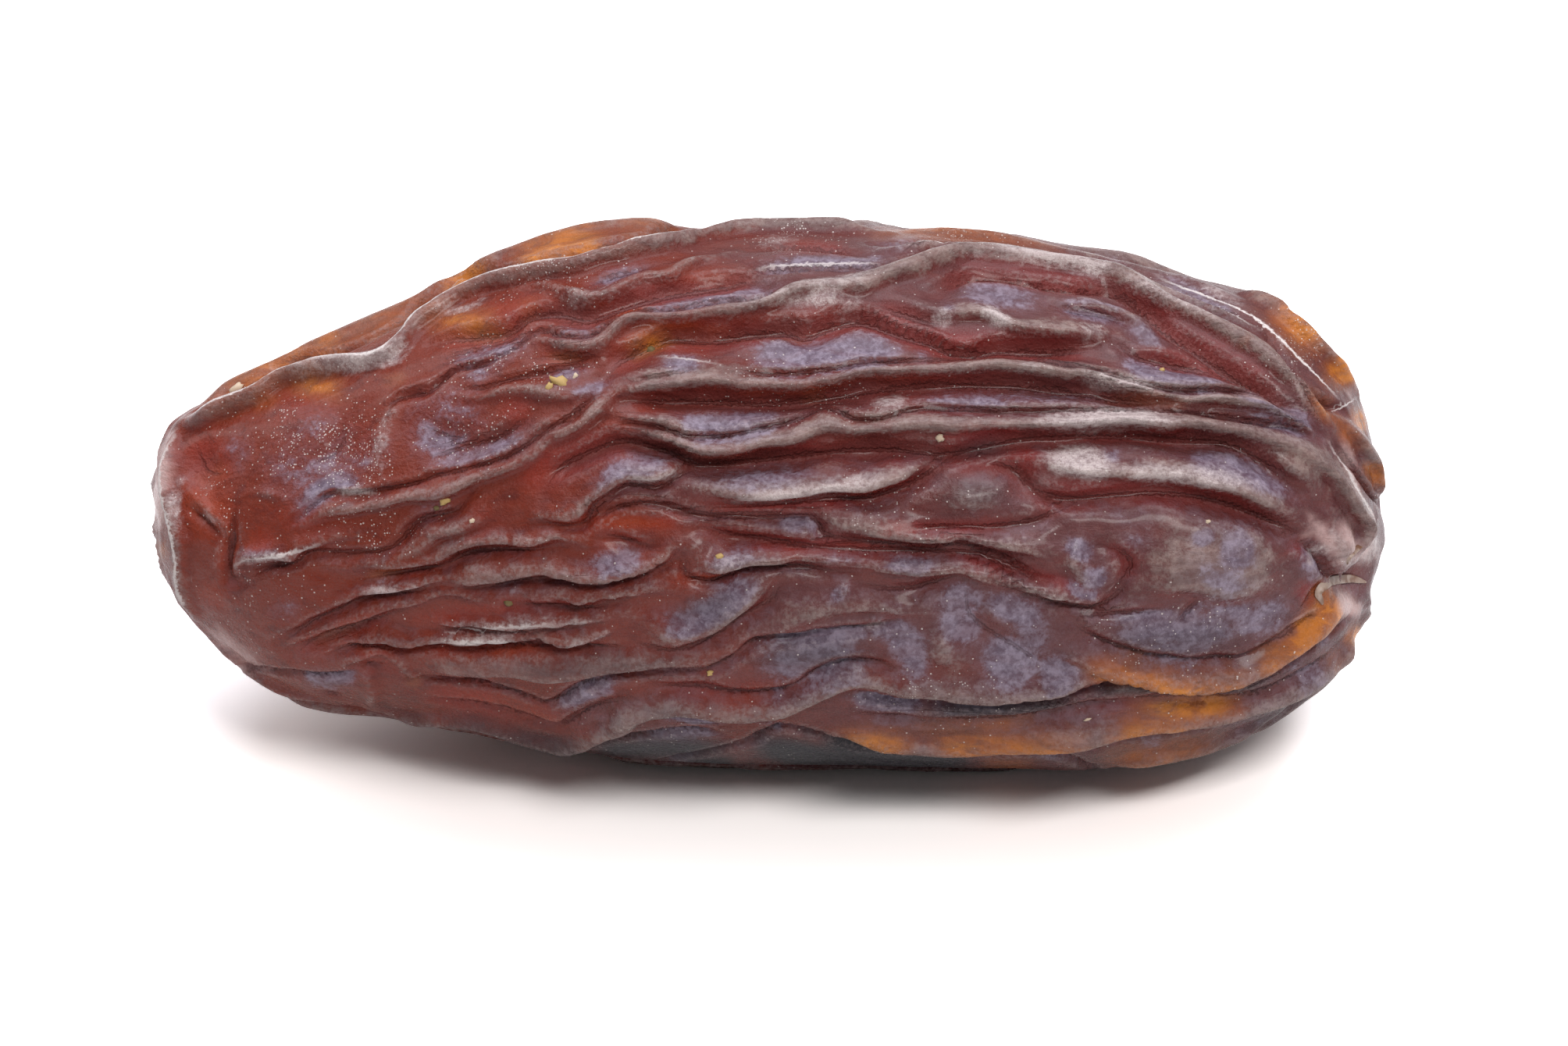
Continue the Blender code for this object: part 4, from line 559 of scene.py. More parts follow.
def on_spindle(share, angle):
    """Points and outward directions on the plain spindle, at a share of its outline and an angle about it.

    The angle is 0 at the upper skyline of the photograph, 90 degrees nearest the camera and 180 at the
    lower skyline."""
    place, half, middle = (np.interp(share, ALONG, OUTLINE[:, k]) for k in range(3))
    ahead, behind = np.minimum(share + SLOPE_STEP, 1.0), np.maximum(share - SLOPE_STEP, 0.0)
    run = np.interp(ahead, ALONG, OUTLINE[:, 0]) - np.interp(behind, ALONG, OUTLINE[:, 0])
    rise = np.interp(ahead, ALONG, OUTLINE[:, 1]) - np.interp(behind, ALONG, OUTLINE[:, 1])
    length = np.hypot(run, rise)
    radial = np.cos(angle)[:, None] * VIEW_UP + np.sin(angle)[:, None] * VIEW_NEAR
    along_axis = np.array([1.0, 0.0, 0.0])
    outward = (run / length)[:, None] * radial - (rise / length)[:, None] * along_axis
    centre = np.column_stack([place + SHIFT_ALONG, np.full_like(place, AXIS_OFFSET), np.full_like(place, AXIS_HEIGHT)])
    return centre + middle[:, None] * VIEW_UP + half[:, None] * radial, outward


def route_on_skin(pixels):
    """A route drawn on the photograph, laid on the side of the spindle that faces the camera."""
    pixels = through(pixels, ROUTE_STEPS)
    place = (pixels[:, 0] - MIDDLE_PIXEL[0]) / PIXELS_PER_MM
    height = (MIDDLE_PIXEL[1] - pixels[:, 1]) / PIXELS_PER_MM
    share = np.interp(place, OUTLINE[:, 0], ALONG)
    half = np.interp(share, ALONG, OUTLINE[:, 1])
    middle = np.interp(share, ALONG, OUTLINE[:, 2])
    cosine = (height - middle) / np.maximum(half, THINNEST)
    angle = np.arccos(np.clip(cosine, -NEAREST_SKYLINE, NEAREST_SKYLINE))
    return on_spindle(share, angle)[0]


def far_folds():
    """Rows of folds and furrows from end to end over the side that the photograph doesn't show."""
    draw = random.Random(FAR_SEED)
    rows = []
    for row in range(FAR_ROWS):
        angle = FAR_FROM + (FAR_TO - FAR_FROM) * (row + 0.5) / FAR_ROWS
        start = FAR_REACH[0] + draw.uniform(*FAR_FIRST_START)
        while start < FAR_REACH[1] - FAR_SHORTEST:
            end = min(start + draw.uniform(*FAR_LENGTH), FAR_REACH[1])
            sway, waves, turn = draw.uniform(*FAR_SWAY), draw.uniform(*FAR_WAVES), draw.uniform(0.0, 2 * math.pi)
            place = np.linspace(start, end, FAR_POINTS)
            part = (place - start) / (end - start)
            ripple = FAR_RIPPLE_SHARE * np.sin(turn + FAR_RIPPLE * part)
            wander = sway * (np.sin(turn + waves * 2 * math.pi * part) + ripple)
            angles = angle + draw.uniform(*FAR_DRIFT) * (part - 0.5) + wander
            share = np.interp(place, OUTLINE[:, 0], ALONG)
            if row % 2 == 0:
                width, height = draw.uniform(*FAR_FOLD_WIDTH), draw.uniform(*FAR_FOLD_HEIGHT)
            else:
                width, height = draw.uniform(*FAR_FURROW_WIDTH), -draw.uniform(*FAR_FURROW_DEPTH)
            rows.append((on_spindle(share, angles)[0], width, height))
            start = end - draw.uniform(*FAR_OVERLAP)
    return rows


def beside(points, route, reach):
    """Which points lie within reach of a route, their steps away from it, and how far along it each one is."""
    near = np.all((points > route.min(0) - reach) & (points < route.max(0) + reach), axis=1)
    if not near.any():
        return near, np.zeros((0, points.shape[1])), np.zeros(0), 1.0
    start, step = route[:-1], np.diff(route, axis=0)
    lengths = np.linalg.norm(step, axis=1)
    gap = points[near][:, None, :] - start[None]
    share = np.clip((gap * step).sum(2) / (lengths**2), 0.0, 1.0)
    distance = np.linalg.norm(gap - share[..., None] * step, axis=2)
    closest = distance.argmin(1)
    pick = np.arange(len(closest))
    travelled = np.concatenate([[0.0], np.cumsum(lengths)])
    run = travelled[closest] + share[pick, closest] * lengths[closest]
    away = gap[pick, closest] - share[pick, closest, None] * step[closest]
    return near, away, run, travelled[-1]


def rise_of(points, downhill, route, half_width, height, swelling):
    """How far one fold lifts each point: a ridge along the route, steep on its lower side, fading at its ends.

    A furrow is steep on its upper side instead."""
    lifted = np.zeros(len(points))
    near, away, run, length = beside(points, route, BELL_REACH * half_width)
    distance = np.linalg.norm(away, axis=1)
    below = (away * downhill[near]).sum(1) / np.maximum(distance, 1e-6)
    width = half_width * swelling[near] * (1.0 - math.copysign(STEEPNESS, height) * below)
    from_end = np.clip(np.minimum(run, length - run) / min(END_LENGTH, END_PART * length), 0.0, 1.0)
    strength = END_SHARE + (1.0 - END_SHARE) * from_end * from_end * (3.0 - 2.0 * from_end)
    lifted[near] = height * strength * np.exp(-(np.abs(distance / width) ** BELL_POWER))
    return lifted


def puckers(points):
    """Short folds that run in to the stem scar and to the blunt tip, mostly on the side away from the camera."""
    lifted = np.zeros(len(points))
    for pixel, count, height, ring, spread, middle_rise, middle_radius in PUCKERS.values():
        centre = route_on_skin([pixel, pixel])[0]
        gap = points - centre
        radius = np.linalg.norm(gap, axis=1)
        toward = gap @ VIEW_NEAR
        turn = np.arctan2(gap @ VIEW_UP, toward)
        swirl = count * turn + PUCKER_UNEVEN * np.sin(3.0 * turn + 1.0) + PUCKER_CURL * radius
        share = 1.0 / (1.0 + np.exp(PUCKERS_ONSET * (toward + PUCKERS_BEHIND)))
        folds = (1.0 - PUCKER_DEPTH * np.abs(np.sin(0.5 * swirl))) * np.exp(-(((radius - ring) / spread) ** 2))
        lifted += height * share * folds + middle_rise * np.exp(-((radius / middle_radius) ** 2))
    return lifted


def relief(points, downhill):
    """The folded skin's height over the spindle at each point: folds and furrows each merge smoothly."""
    up, down = np.zeros(len(points)), np.zeros(len(points))
    swelling = 1.0 + WIDTH_VARIES * lumps(points, (2.4, 1.6, 1.6), 21)
    standing = 1.0 + HEIGHT_VARIES * lumps(points, (3.0, 2.0, 2.0), 22)
    points = points + COURSE_WAVERS * np.column_stack([lumps(points, (1.3, 0.9, 0.9), seed) for seed in (23, 24, 25)])
    rows = [(route_on_skin(route), width, height) for route, width, height in FOLDS.values()]
    for route, width, height in rows + far_folds():
        lifted = rise_of(points, downhill, route, width, height, swelling)
        if height > 0:
            up += lifted**MERGE_POWER
        else:
            down += (-lifted) ** MERGE_POWER
    return standing * (up ** (1 / MERGE_POWER) - down ** (1 / MERGE_POWER)) + puckers(points)


def downhill_of(angle):
    """Which way is down the skin as the photograph shows it: from the upper skyline to the lower one."""
    round_the_side = -np.sin(angle)[:, None] * VIEW_UP + np.cos(angle)[:, None] * VIEW_NEAR
    return np.clip(SIDE_SLOPE * np.sin(angle), -1.0, 1.0)[:, None] * round_the_side


def lumps(points, size, seed):
    """Smooth seeded lumps between -1 and 1 that are about size millimetres apart along each axis."""
    draw = np.random.default_rng(seed)
    heights, order = draw.uniform(-1.0, 1.0, 1024), draw.permutation(1024)
    at = points / np.asarray(size)
    cell = np.floor(at).astype(int)
    part = at - cell
    part = part * part * (3.0 - 2.0 * part)
    total = np.zeros(len(points))
    for corner in np.ndindex(2, 2, 2):
        key = np.zeros(len(points), int)
        for k in range(3):
            key = order[(key + cell[:, k] + corner[k]) % 1024]
        total += heights[key] * np.prod(np.where(corner, part, 1.0 - part), axis=1)
    return total


def small_wrinkles(points, rise):
    """The wrinkles between the folds: most run lengthways, and they are weakest on a fold's top."""
    sway = 0.5 * np.column_stack([lumps(points, (2.6, 2.6, 2.6), seed) for seed in (1, 2, 3)])
    swayed = points + sway
    long_ones = 1.0 - 2.0 * np.abs(lumps(swayed, (3.6, 1.0, 1.0), 4))
    short_ones = 1.0 - 2.0 * np.abs(lumps(swayed, (1.3, 0.75, 0.75), 5))
    calm = 1.0 - 0.55 * np.clip(rise / 0.5, 0.0, 1.0)
    where = 0.5 + 0.5 * lumps(points, (5.0, 3.0, 3.0), 6)
    return calm * (0.032 * long_ones + 0.034 * short_ones * where) + 0.016 * lumps(points, (0.6, 0.5, 0.5), 8)


def in_the_picture(points):
    """Where the photograph shows each point, in its pixels."""
    across = MIDDLE_PIXEL[0] + (points[:, 0] - SHIFT_ALONG) * PIXELS_PER_MM
    axis = np.array([0.0, AXIS_OFFSET, AXIS_HEIGHT])
    return np.column_stack([across, MIDDLE_PIXEL[1] - (points - axis) @ VIEW_UP * PIXELS_PER_MM])


def painted(pixels, strokes, wider=1.0):
    """The strength of brush strokes at each pixel: full along each route, and fading softly to the sides."""
    strength = np.zeros(len(pixels))
    for route, half_width, most in strokes:
        width = wider * half_width
        near, away, run, length = beside(pixels, through(route, 4), 2.4 * width)
        distance = np.linalg.norm(away, axis=1)
        ends = np.clip(np.minimum(run, length - run) / min(STROKE_END, 0.45 * length), 0.0, 1.0)
        most = most * (0.25 + 0.75 * ends * (2.0 - ends))
        strength[near] = np.maximum(strength[near], most * np.exp(-((distance / width) ** 2)))
    return strength


def drawn(pixels, strokes):
    """The signed distance from each pixel to the nearest line, in its half widths, and its strength there."""
    gap, strength = np.full(len(pixels), LINE_REACH), np.zeros(len(pixels))
    for route, half_width, most in strokes:
        route = through(route, 4)
        near, away, run, length = beside(pixels, route, LINE_REACH * half_width)
        distance = np.linalg.norm(away, axis=1)
        travelled = np.concatenate([[0.0], np.cumsum(np.linalg.norm(np.diff(route, axis=0), axis=1))])
        ahead, behind = (np.column_stack([np.interp(run + step, travelled, route[:, k]) for k in range(2)])
                         for step in (1.0, -1.0))
        course = ahead - behind
        side = np.sign(course[:, 0] * away[:, 1] - course[:, 1] * away[:, 0])
        ends = np.clip(np.minimum(run, length - run) / min(40.0, 0.4 * length), 0.0, 1.0)
        closer = distance / half_width < np.abs(gap[near])
        at = np.flatnonzero(near)[closer]
        gap[at] = (side * distance / half_width)[closer]
        strength[at] = (most * ends * np.clip(2.3 - 0.5 * distance / half_width, 0.0, 1.0))[closer]
    return gap, strength


def sides_of_the_ball(corners):
    """Place each corner of a plain ball on the spindle: most of its rows go to the side that is seen."""
    share = np.arccos(np.clip(-corners[:, 2], -1.0, 1.0)) / math.pi
    turn = np.mod(np.arctan2(corners[:, 1], corners[:, 0]), 2 * math.pi) / (2 * math.pi)
    angle = np.interp(turn, (0.0, NEAR_SHARE, 1.0), np.radians((-8.0, 190.0, 352.0)))
    return share, angle


def keenness(rise, edges):
    """How much each point stands out from its neighbours: over zero on a crest, under zero in a furrow."""
    for _round in range(2):
        total, count = np.zeros(len(rise)), np.zeros(len(rise))
        for one, other in ((0, 1), (1, 0)):
            np.add.at(total, edges[:, one], rise[edges[:, other]])
            np.add.at(count, edges[:, one], 1.0)
        smoother = total / np.maximum(count, 1.0)
        keen, rise = rise - smoother, smoother
    return keen


def skin():
    """The whole skin as one closed piece, with its paint kept at its points."""
    ball = bmesh.new()
    bmesh.ops.create_uvsphere(ball, u_segments=ROWS_ROUND, v_segments=ROWS_ALONG, radius=1.0)
    ball.verts.index_update()
    share, angle = sides_of_the_ball(np.array([v.co for v in ball.verts]))
    edges = np.array([[v.index for v in e.verts] for e in ball.edges])
    plain, outward = on_spindle(share, angle)
    downhill = downhill_of(angle)
    rise = relief(plain, downhill)
    wrinkled = rise + small_wrinkles(plain, rise)
    points = plain + outward * wrinkled[:, None] + LEAN * np.maximum(rise, 0.0)[:, None] * downhill
    points[:, 2] = np.maximum(points[:, 2], 0.0)
    for corner, point in zip(ball.verts, points * MM):
        corner.co = point
    bmesh.ops.recalc_face_normals(ball, faces=ball.faces)
    mesh = bpy.data.meshes.new("date_skin")
    ball.to_mesh(mesh)
    ball.free()
    mesh.shade_smooth()
    normals = np.array([v.normal for v in mesh.vertices])
    tilt = (normals - outward)[:, 2]
    seen, far = np.clip(1.0 + 4.0 * np.sin(angle), 0.0, 1.0), np.clip(-4.0 * np.sin(angle), 0.0, 1.0)
    facing = outward @ VIEW_NEAR
    fine = np.clip(0.25 + 2.5 * facing, 0.0, 1.0)
    uphill = np.clip((tilt + 0.30) / 0.45, 0.0, 1.0)
    pixels = in_the_picture(plain)
    # Lines of painted shade along the furrows
    creases = [(route, 2.5, 1.0) for route, _width, height in FOLDS.values() if height < 0]
    rim_gap, rim = drawn(pixels, PAINTED_RIM_LIGHTS)
    crease_gap, crease = drawn(pixels, creases)

    def blotches(size, seed, more, less):
        return far * np.clip(more * lumps(plain, size, seed) - less, 0.0, 1.0)

    # Values painted at the skin's points; many are painted light and shade: sheen, glints, glow, rim light and shade
    paints = {
        "rise": rise,
        "keen": keenness(wrinkled, edges) * 100.0,
        "tilt": tilt,
        "bloom_and_sheen": seen * painted(pixels, BLOOM_AND_SHEEN, 2.0) * (0.45 + 0.70 * uphill)
        + 0.7 * uphill * blotches((5.0, 1.8, 1.8), 11, 1.6, -0.2),
        "painted_glints": fine * painted(pixels, PAINTED_GLINTS, 1.5) + 0.4 * blotches((3.0, 1.2, 1.2), 12, 2.0, 0.6),
        "amber": seen * painted(pixels, AMBER, 1.7) + 0.8 * blotches((6.0, 2.5, 2.5), 13, 2.2, 0.9),
        "glow": seen * painted(pixels, GLOW, 1.7) + 0.6 * blotches((5.0, 2.0, 2.0), 14, 1.5, 0.0),
        "painted_shade": seen * painted(pixels, PAINTED_SHADE, 1.6),
        "pale": fine * painted(pixels, PALE, 1.3),
        "rim": fine * rim,
        "rim_gap": rim_gap / np.sqrt(np.clip(facing, 0.2, 1.0)),
        "crease": fine * crease,
        "crease_gap": crease_gap,
        "sugar": seen * painted(pixels, SUGAR) + 0.4 * blotches((6.0, 4.0, 4.0), 15, 1.0, 0.0),
    }
    for name, values in paints.items():
        mesh.attributes.new(name, "FLOAT", "POINT").data.foreach_set("value", values.astype(np.float32))
    return bpy.data.objects.new("date_skin", mesh)


def add(tree, kind, settings=None, **sockets):
    """A node with its settings, whose named inputs are linked or set. Returns the node."""
    made = tree.nodes.new(kind)
    for name, value in (settings or {}).items():
        setattr(made, name, value)
    for name, value in sockets.items():
        socket = made.inputs[int(name[1:])] if name[0] == "_" else made.inputs[name.replace("_", " ")]
        if isinstance(value, bpy.types.NodeSocket):
            tree.links.new(value, socket)
        else:
            socket.default_value = value
    return made


def work(tree, operation, one, other=0.0):
    return add(tree, "ShaderNodeMath", {"operation": operation}, _0=one, _1=other).outputs[0]


def graded(tree, value, low, high, to_low=0.0, to_high=1.0):
    """The value's place between low and high, eased, as a value between to_low and to_high."""
    made = add(tree, "ShaderNodeMapRange", {"interpolation_type": "SMOOTHSTEP"}, _0=value, _1=low, _2=high, _3=to_low, _4=to_high)
    return made.outputs[0]


def tinted(tree, mask, below, above):
    """The colour below, covered by the colour above where the mask is 1."""
    made = add(tree, "ShaderNodeMix", {"data_type": "RGBA"}, _0=mask, _6=below, _7=above)
    return made.outputs[2]


def colour(red, green, blue):
    return (red, green, blue, 1.0)


def ragged_patch():
    """A node group that turns a soft painted strength into a patch with a ragged edge."""
    group = bpy.data.node_groups.new("ragged patch", "ShaderNodeTree")
    for name, value in (("Strength", 0.0), ("Grain", 0.5), ("Raggedness", 1.0), ("Softness", 0.25)):
        group.interface.new_socket(name, in_out="INPUT", socket_type="NodeSocketFloat").default_value = value
    group.interface.new_socket("Mask", in_out="OUTPUT", socket_type="NodeSocketFloat")
    given = group.nodes.new("NodeGroupInput").outputs
    bitten = work(group, "MULTIPLY", work(group, "SUBTRACT", given["Grain"], 0.5), given["Raggedness"])
    reached = work(group, "ADD", given["Strength"], bitten)
    low = work(group, "SUBTRACT", 0.5, given["Softness"])
    high = work(group, "ADD", 0.5, given["Softness"])
    mask = graded(group, reached, low, high)
    held = work(group, "MULTIPLY", mask, graded(group, given["Strength"], 0.02, 0.2))
    add(group, "NodeGroupOutput", Mask=held)
    return group


def skin_material():
    material = bpy.data.materials.new("date_skin")
    material.use_nodes = True
    tree = material.node_tree
    shader = tree.nodes["Principled BSDF"]
    place = add(tree, "ShaderNodeTexCoord").outputs["Object"]
    mm = add(tree, "ShaderNodeVectorMath", {"operation": "SCALE"}, Vector=place, Scale=1000.0).outputs[0]
    lengthways = add(tree, "ShaderNodeMapping", Vector=mm, Scale=(0.38, 1.0, 1.0)).outputs[0]

    def paint(name):
        return add(tree, "ShaderNodeAttribute", {"attribute_name": name}).outputs["Fac"]

    def noise(where, size, detail=4.0, roughness=0.55, distortion=0.0):
        made = add(tree, "ShaderNodeTexNoise", Vector=where, Scale=1.0 / size, Detail=detail, Roughness=roughness,
                   Distortion=distortion)
        return made.outputs["Fac"]

    patch_group = ragged_patch()

    def patch(strength, grain, raggedness, softness):
        made = add(tree, "ShaderNodeGroup", {"node_tree": patch_group}, Strength=strength, Grain=grain,
                   Raggedness=raggedness, Softness=softness)
        return made.outputs["Mask"]

    def times(one, other):
        return work(tree, "MULTIPLY", one, other)

    broad = noise(lengthways, 3.0, 5.0)
    streaks = noise(lengthways, 0.7, 6.0, 0.6, 0.6)
    mottle = noise(mm, 0.55, 6.0, 0.65, 0.4)
    grain = noise(mm, 0.20, 5.0, 0.65)
    speckle = noise(mm, 0.06, 2.0, 0.5)
    rise, keen, tilt = paint("rise"), paint("keen"), paint("tilt")
    speckled = work(tree, "ADD", times(mottle, 0.6), times(grain, 0.4))
    crest = graded(tree, work(tree, "ADD", rise, graded(tree, speckled, 0.3, 0.7, -0.17, 0.17)), 0.08, 0.46)
    furrow = graded(tree, rise, 0.0, -0.60)
    lip = graded(tree, keen, 0.3, 2.2)
    crease = graded(tree, keen, -0.3, -2.4)
    uphill = graded(tree, tilt, 0.02, 0.45)
    downhill = graded(tree, tilt, -0.02, -0.50)

    # The skin under its bloom: warm red-brown at the blunt end, plum brown at the stem end
    along = add(tree, "ShaderNodeSeparateXYZ", Vector=mm).outputs[0]
    swayed = work(tree, "ADD", along, graded(tree, broad, 0.25, 0.75, 9.0, -9.0))
    warm = graded(tree, swayed, 9.0, -13.0)
    base = tinted(tree, warm, colour(0.100, 0.033, 0.034), colour(0.158, 0.022, 0.010))
    base = tinted(tree, times(graded(tree, streaks, 0.42, 0.72), 0.30), base, colour(0.165, 0.045, 0.036))
    # Painted shade: the slopes that face down are tinted a deeper red
    base = tinted(tree, times(downhill, 0.50), base, colour(0.140, 0.026, 0.022))
    base = tinted(tree, times(graded(tree, streaks, 0.50, 0.30), 0.50), base, colour(0.070, 0.012, 0.012))
    # Painted glow of light through the red flesh, brightest at the warm end
    glow = patch(paint("glow"), streaks, 0.5, 0.45)
    base = tinted(tree, glow, base, tinted(tree, warm, colour(0.160, 0.015, 0.013), colour(0.215, 0.022, 0.010)))
    ember = times(times(glow, graded(tree, warm, 0.45, 1.0)), graded(tree, broad, 0.44, 0.64, 0.0, 0.8))
    base = tinted(tree, ember, base, colour(0.250, 0.036, 0.009))
    # Painted light: the furrows are painted a lighter red, as the flesh glows there
    base = tinted(tree, times(furrow, 0.60), base, colour(0.185, 0.050, 0.046))
    # Painted shade in the creases
    base = tinted(tree, times(crease, 0.25), base, colour(0.080, 0.010, 0.008))
    # Crest tops turn greyish brown: partly dust, partly painted sheen
    dust_and_sheen_mask = times(graded(tree, mottle, 0.35, 0.62, 0.70, 1.0), graded(tree, grain, 0.35, 0.55, 0.78, 1.0))
    dust_and_sheen = tinted(tree, graded(tree, streaks, 0.38, 0.64), colour(0.150, 0.096, 0.088), colour(0.250, 0.176, 0.158))
    dust_and_sheen_mask = times(dust_and_sheen_mask, graded(tree, work(tree, "ADD", times(glow, 0.7), times(warm, 0.50)), 0.0, 1.0, 1.0, 0.2))
    base = tinted(tree, times(crest, dust_and_sheen_mask), base, dust_and_sheen)

    # Thin places where the flesh shows through, painted with the glow of light from behind: brown, then orange, then
    # yellow where it is thinnest
    amber = patch(paint("amber"), streaks, 0.35, 0.48)
    base = tinted(tree, times(amber, graded(tree, streaks, 0.35, 0.6, 0.75, 0.98)), base, colour(0.300, 0.086, 0.024))
    # Darker streaks inside the amber
    amber_dark_streaks = times(amber, graded(tree, noise(lengthways, 0.9, 5.0, 0.65, 1.0), 0.55, 0.38, 0.0, 0.66))
    base = tinted(tree, amber_dark_streaks, base, colour(0.105, 0.042, 0.034))
    bright = times(graded(tree, paint("amber"), 0.55, 1.0), graded(tree, broad, 0.40, 0.62, 0.42, 0.95))
    bright = times(bright, graded(tree, streaks, 0.40, 0.58, 0.25, 1.0))
    base = tinted(tree, bright, base, colour(0.640, 0.215, 0.014))

    # Bloom with painted sheen on the slopes that face up, painted shade underneath, painted glints on the crests, and
    # dried sugar on the skin
    crisp, soft = patch(paint("bloom_and_sheen"), speckled, 1.0, 0.15), patch(paint("bloom_and_sheen"), speckled, 0.9, 0.50)
    bloom_and_sheen = work(tree, "ADD", times(crisp, 0.50), times(soft, 0.48))
    bloom_and_sheen = times(bloom_and_sheen, graded(tree, streaks, 0.30, 0.60, 0.60, 1.0))
    deep, bright_bloom_and_sheen = colour(0.105, 0.074, 0.108), colour(0.250, 0.205, 0.265)
    bloom_and_sheen_colour = tinted(tree, graded(tree, speckled, 0.40, 0.62), deep, bright_bloom_and_sheen)
    # Painted sheen: slopes that face up reflect the light as a lilac haze
    painted_sheen = times(times(uphill, graded(tree, mottle, 0.40, 0.62, 0.05, 0.60)), graded(tree, warm, 0.0, 1.0, 0.6, 0.3))
    painted_sheen = times(painted_sheen, graded(tree, work(tree, "ADD", times(amber, 0.9), times(glow, 0.7)), 0.0, 1.0, 1.0, 0.08))
    base = tinted(tree, painted_sheen, base, colour(0.205, 0.135, 0.165))
    base = tinted(tree, bloom_and_sheen, base, bloom_and_sheen_colour)
    # Painted shade on the underside
    base = tinted(tree, patch(paint("painted_shade"), broad, 0.3, 0.48), base, colour(0.026, 0.022, 0.028))
    # Painted glints: grainy white highlights on the crests
    painted_glints = patch(paint("painted_glints"), speckled, 1.2, 0.36)
    painted_glints = times(painted_glints, graded(tree, speckle, 0.35, 0.6, 0.60, 0.97))
    silky = work(tree, "ADD", times(streaks, 0.6), times(grain, 0.4))
    white = tinted(tree, graded(tree, silky, 0.36, 0.60), colour(0.25, 0.19, 0.19), colour(0.56, 0.48, 0.47))
    base = tinted(tree, painted_glints, base, white)
    base = tinted(tree, patch(paint("pale"), streaks, 0.6, 0.40), base, colour(0.55, 0.38, 0.36))
    # The sharpest crests are paler, in grainy flecks
    flecked_crest_edges = times(lip, graded(tree, grain, 0.45, 0.65, 0.1, 0.75))
    base = tinted(tree, times(flecked_crest_edges, 0.35), base, colour(0.36, 0.28, 0.27))

    # Lines: painted shade where the skin is creased, and painted rim light where a fold's edge is thin
    def line(name):
        wavering = work(tree, "ADD", paint(name + "_gap"), graded(tree, grain, 0.2, 0.8, -0.9, 0.9))
        shape = graded(tree, work(tree, "ABSOLUTE", wavering), 1.3, 0.2)
        return times(shape, paint(name))

    crease_shade_lines = line("crease")
    # Painted shade along the creases
    base = tinted(tree, times(crease_shade_lines, 0.28), base, colour(0.060, 0.010, 0.008))
    # Painted rim light along the thin edges of the folds
    base = tinted(tree, times(line("rim"), 0.9), base, colour(0.70, 0.64, 0.62))

    gathered = noise(mm, 1.3, 3.0)

    def specks(per_mm, smallest, largest, everywhere, where_sugared):
        cells = add(tree, "ShaderNodeTexVoronoi", Vector=mm, Scale=per_mm)
        pick = add(tree, "ShaderNodeSeparateColor", Color=cells.outputs["Color"]).outputs
        dot = work(tree, "LESS_THAN", cells.outputs["Distance"], graded(tree, pick[1], 0.0, 1.0, smallest, largest))
        shown = work(tree, "ADD", times(paint("sugar"), where_sugared), everywhere)
        shown = times(shown, graded(tree, gathered, 0.42, 0.62, 0.15, 1.8))
        return times(dot, work(tree, "LESS_THAN", pick[0], shown))

    sugar = work(tree, "MAXIMUM", specks(2.6, 0.05, 0.11, 0.10, 0.30), specks(9.5, 0.10, 0.34, 0.02, 0.62))
    base = tinted(tree, times(sugar, 0.75), base, colour(0.62, 0.55, 0.52))
    tree.links.new(base, shader.inputs["Base Color"])

    dull = graded(tree, grain, 0.35, 0.65, 0.21, 0.36)
    dull = work(tree, "ADD", dull, times(bloom_and_sheen, 0.10))
    dull = work(tree, "ADD", dull, times(sugar, 0.2))
    tree.links.new(dull, shader.inputs["Roughness"])

    ridges = work(tree, "ABSOLUTE", work(tree, "SUBTRACT", noise(lengthways, 0.55, 3.0, 0.5, 0.8), 0.5))
    height = times(ridges, -0.09)
    height = work(tree, "ADD", height, times(mottle, 0.11))
    height = work(tree, "ADD", height, times(grain, work(tree, "ADD", times(paint("sugar"), 0.05), 0.050)))
    height = work(tree, "ADD", height, times(speckle, 0.013))
    height = work(tree, "ADD", height, times(sugar, 0.012))
    height = work(tree, "ADD", height, times(crease_shade_lines, -0.06))
    bump = add(tree, "ShaderNodeBump", Strength=1.0, Distance=MM, Height=height)
    tree.links.new(bump.outputs[0], shader.inputs["Normal"])
    shader.inputs["Coat Weight"].default_value = 0.16
    shader.inputs["Coat Roughness"].default_value = 0.16
    shader.inputs["IOR"].default_value = 1.45
    shader.inputs["Specular IOR Level"].default_value = 0.20
    return material


# The torn edges of skin round the stem scar: a route in photograph pixels, half width, thickness and lift in mm
TORN_EDGES = (
    ([(1690, 774), (1682, 760), (1690, 748), (1710, 742), (1730, 741), (1746, 746)], 0.19, 0.07, 0.08),
    ([(1716, 730), (1722, 712), (1738, 698), (1752, 680)], 0.12, 0.06, 0.02),
)


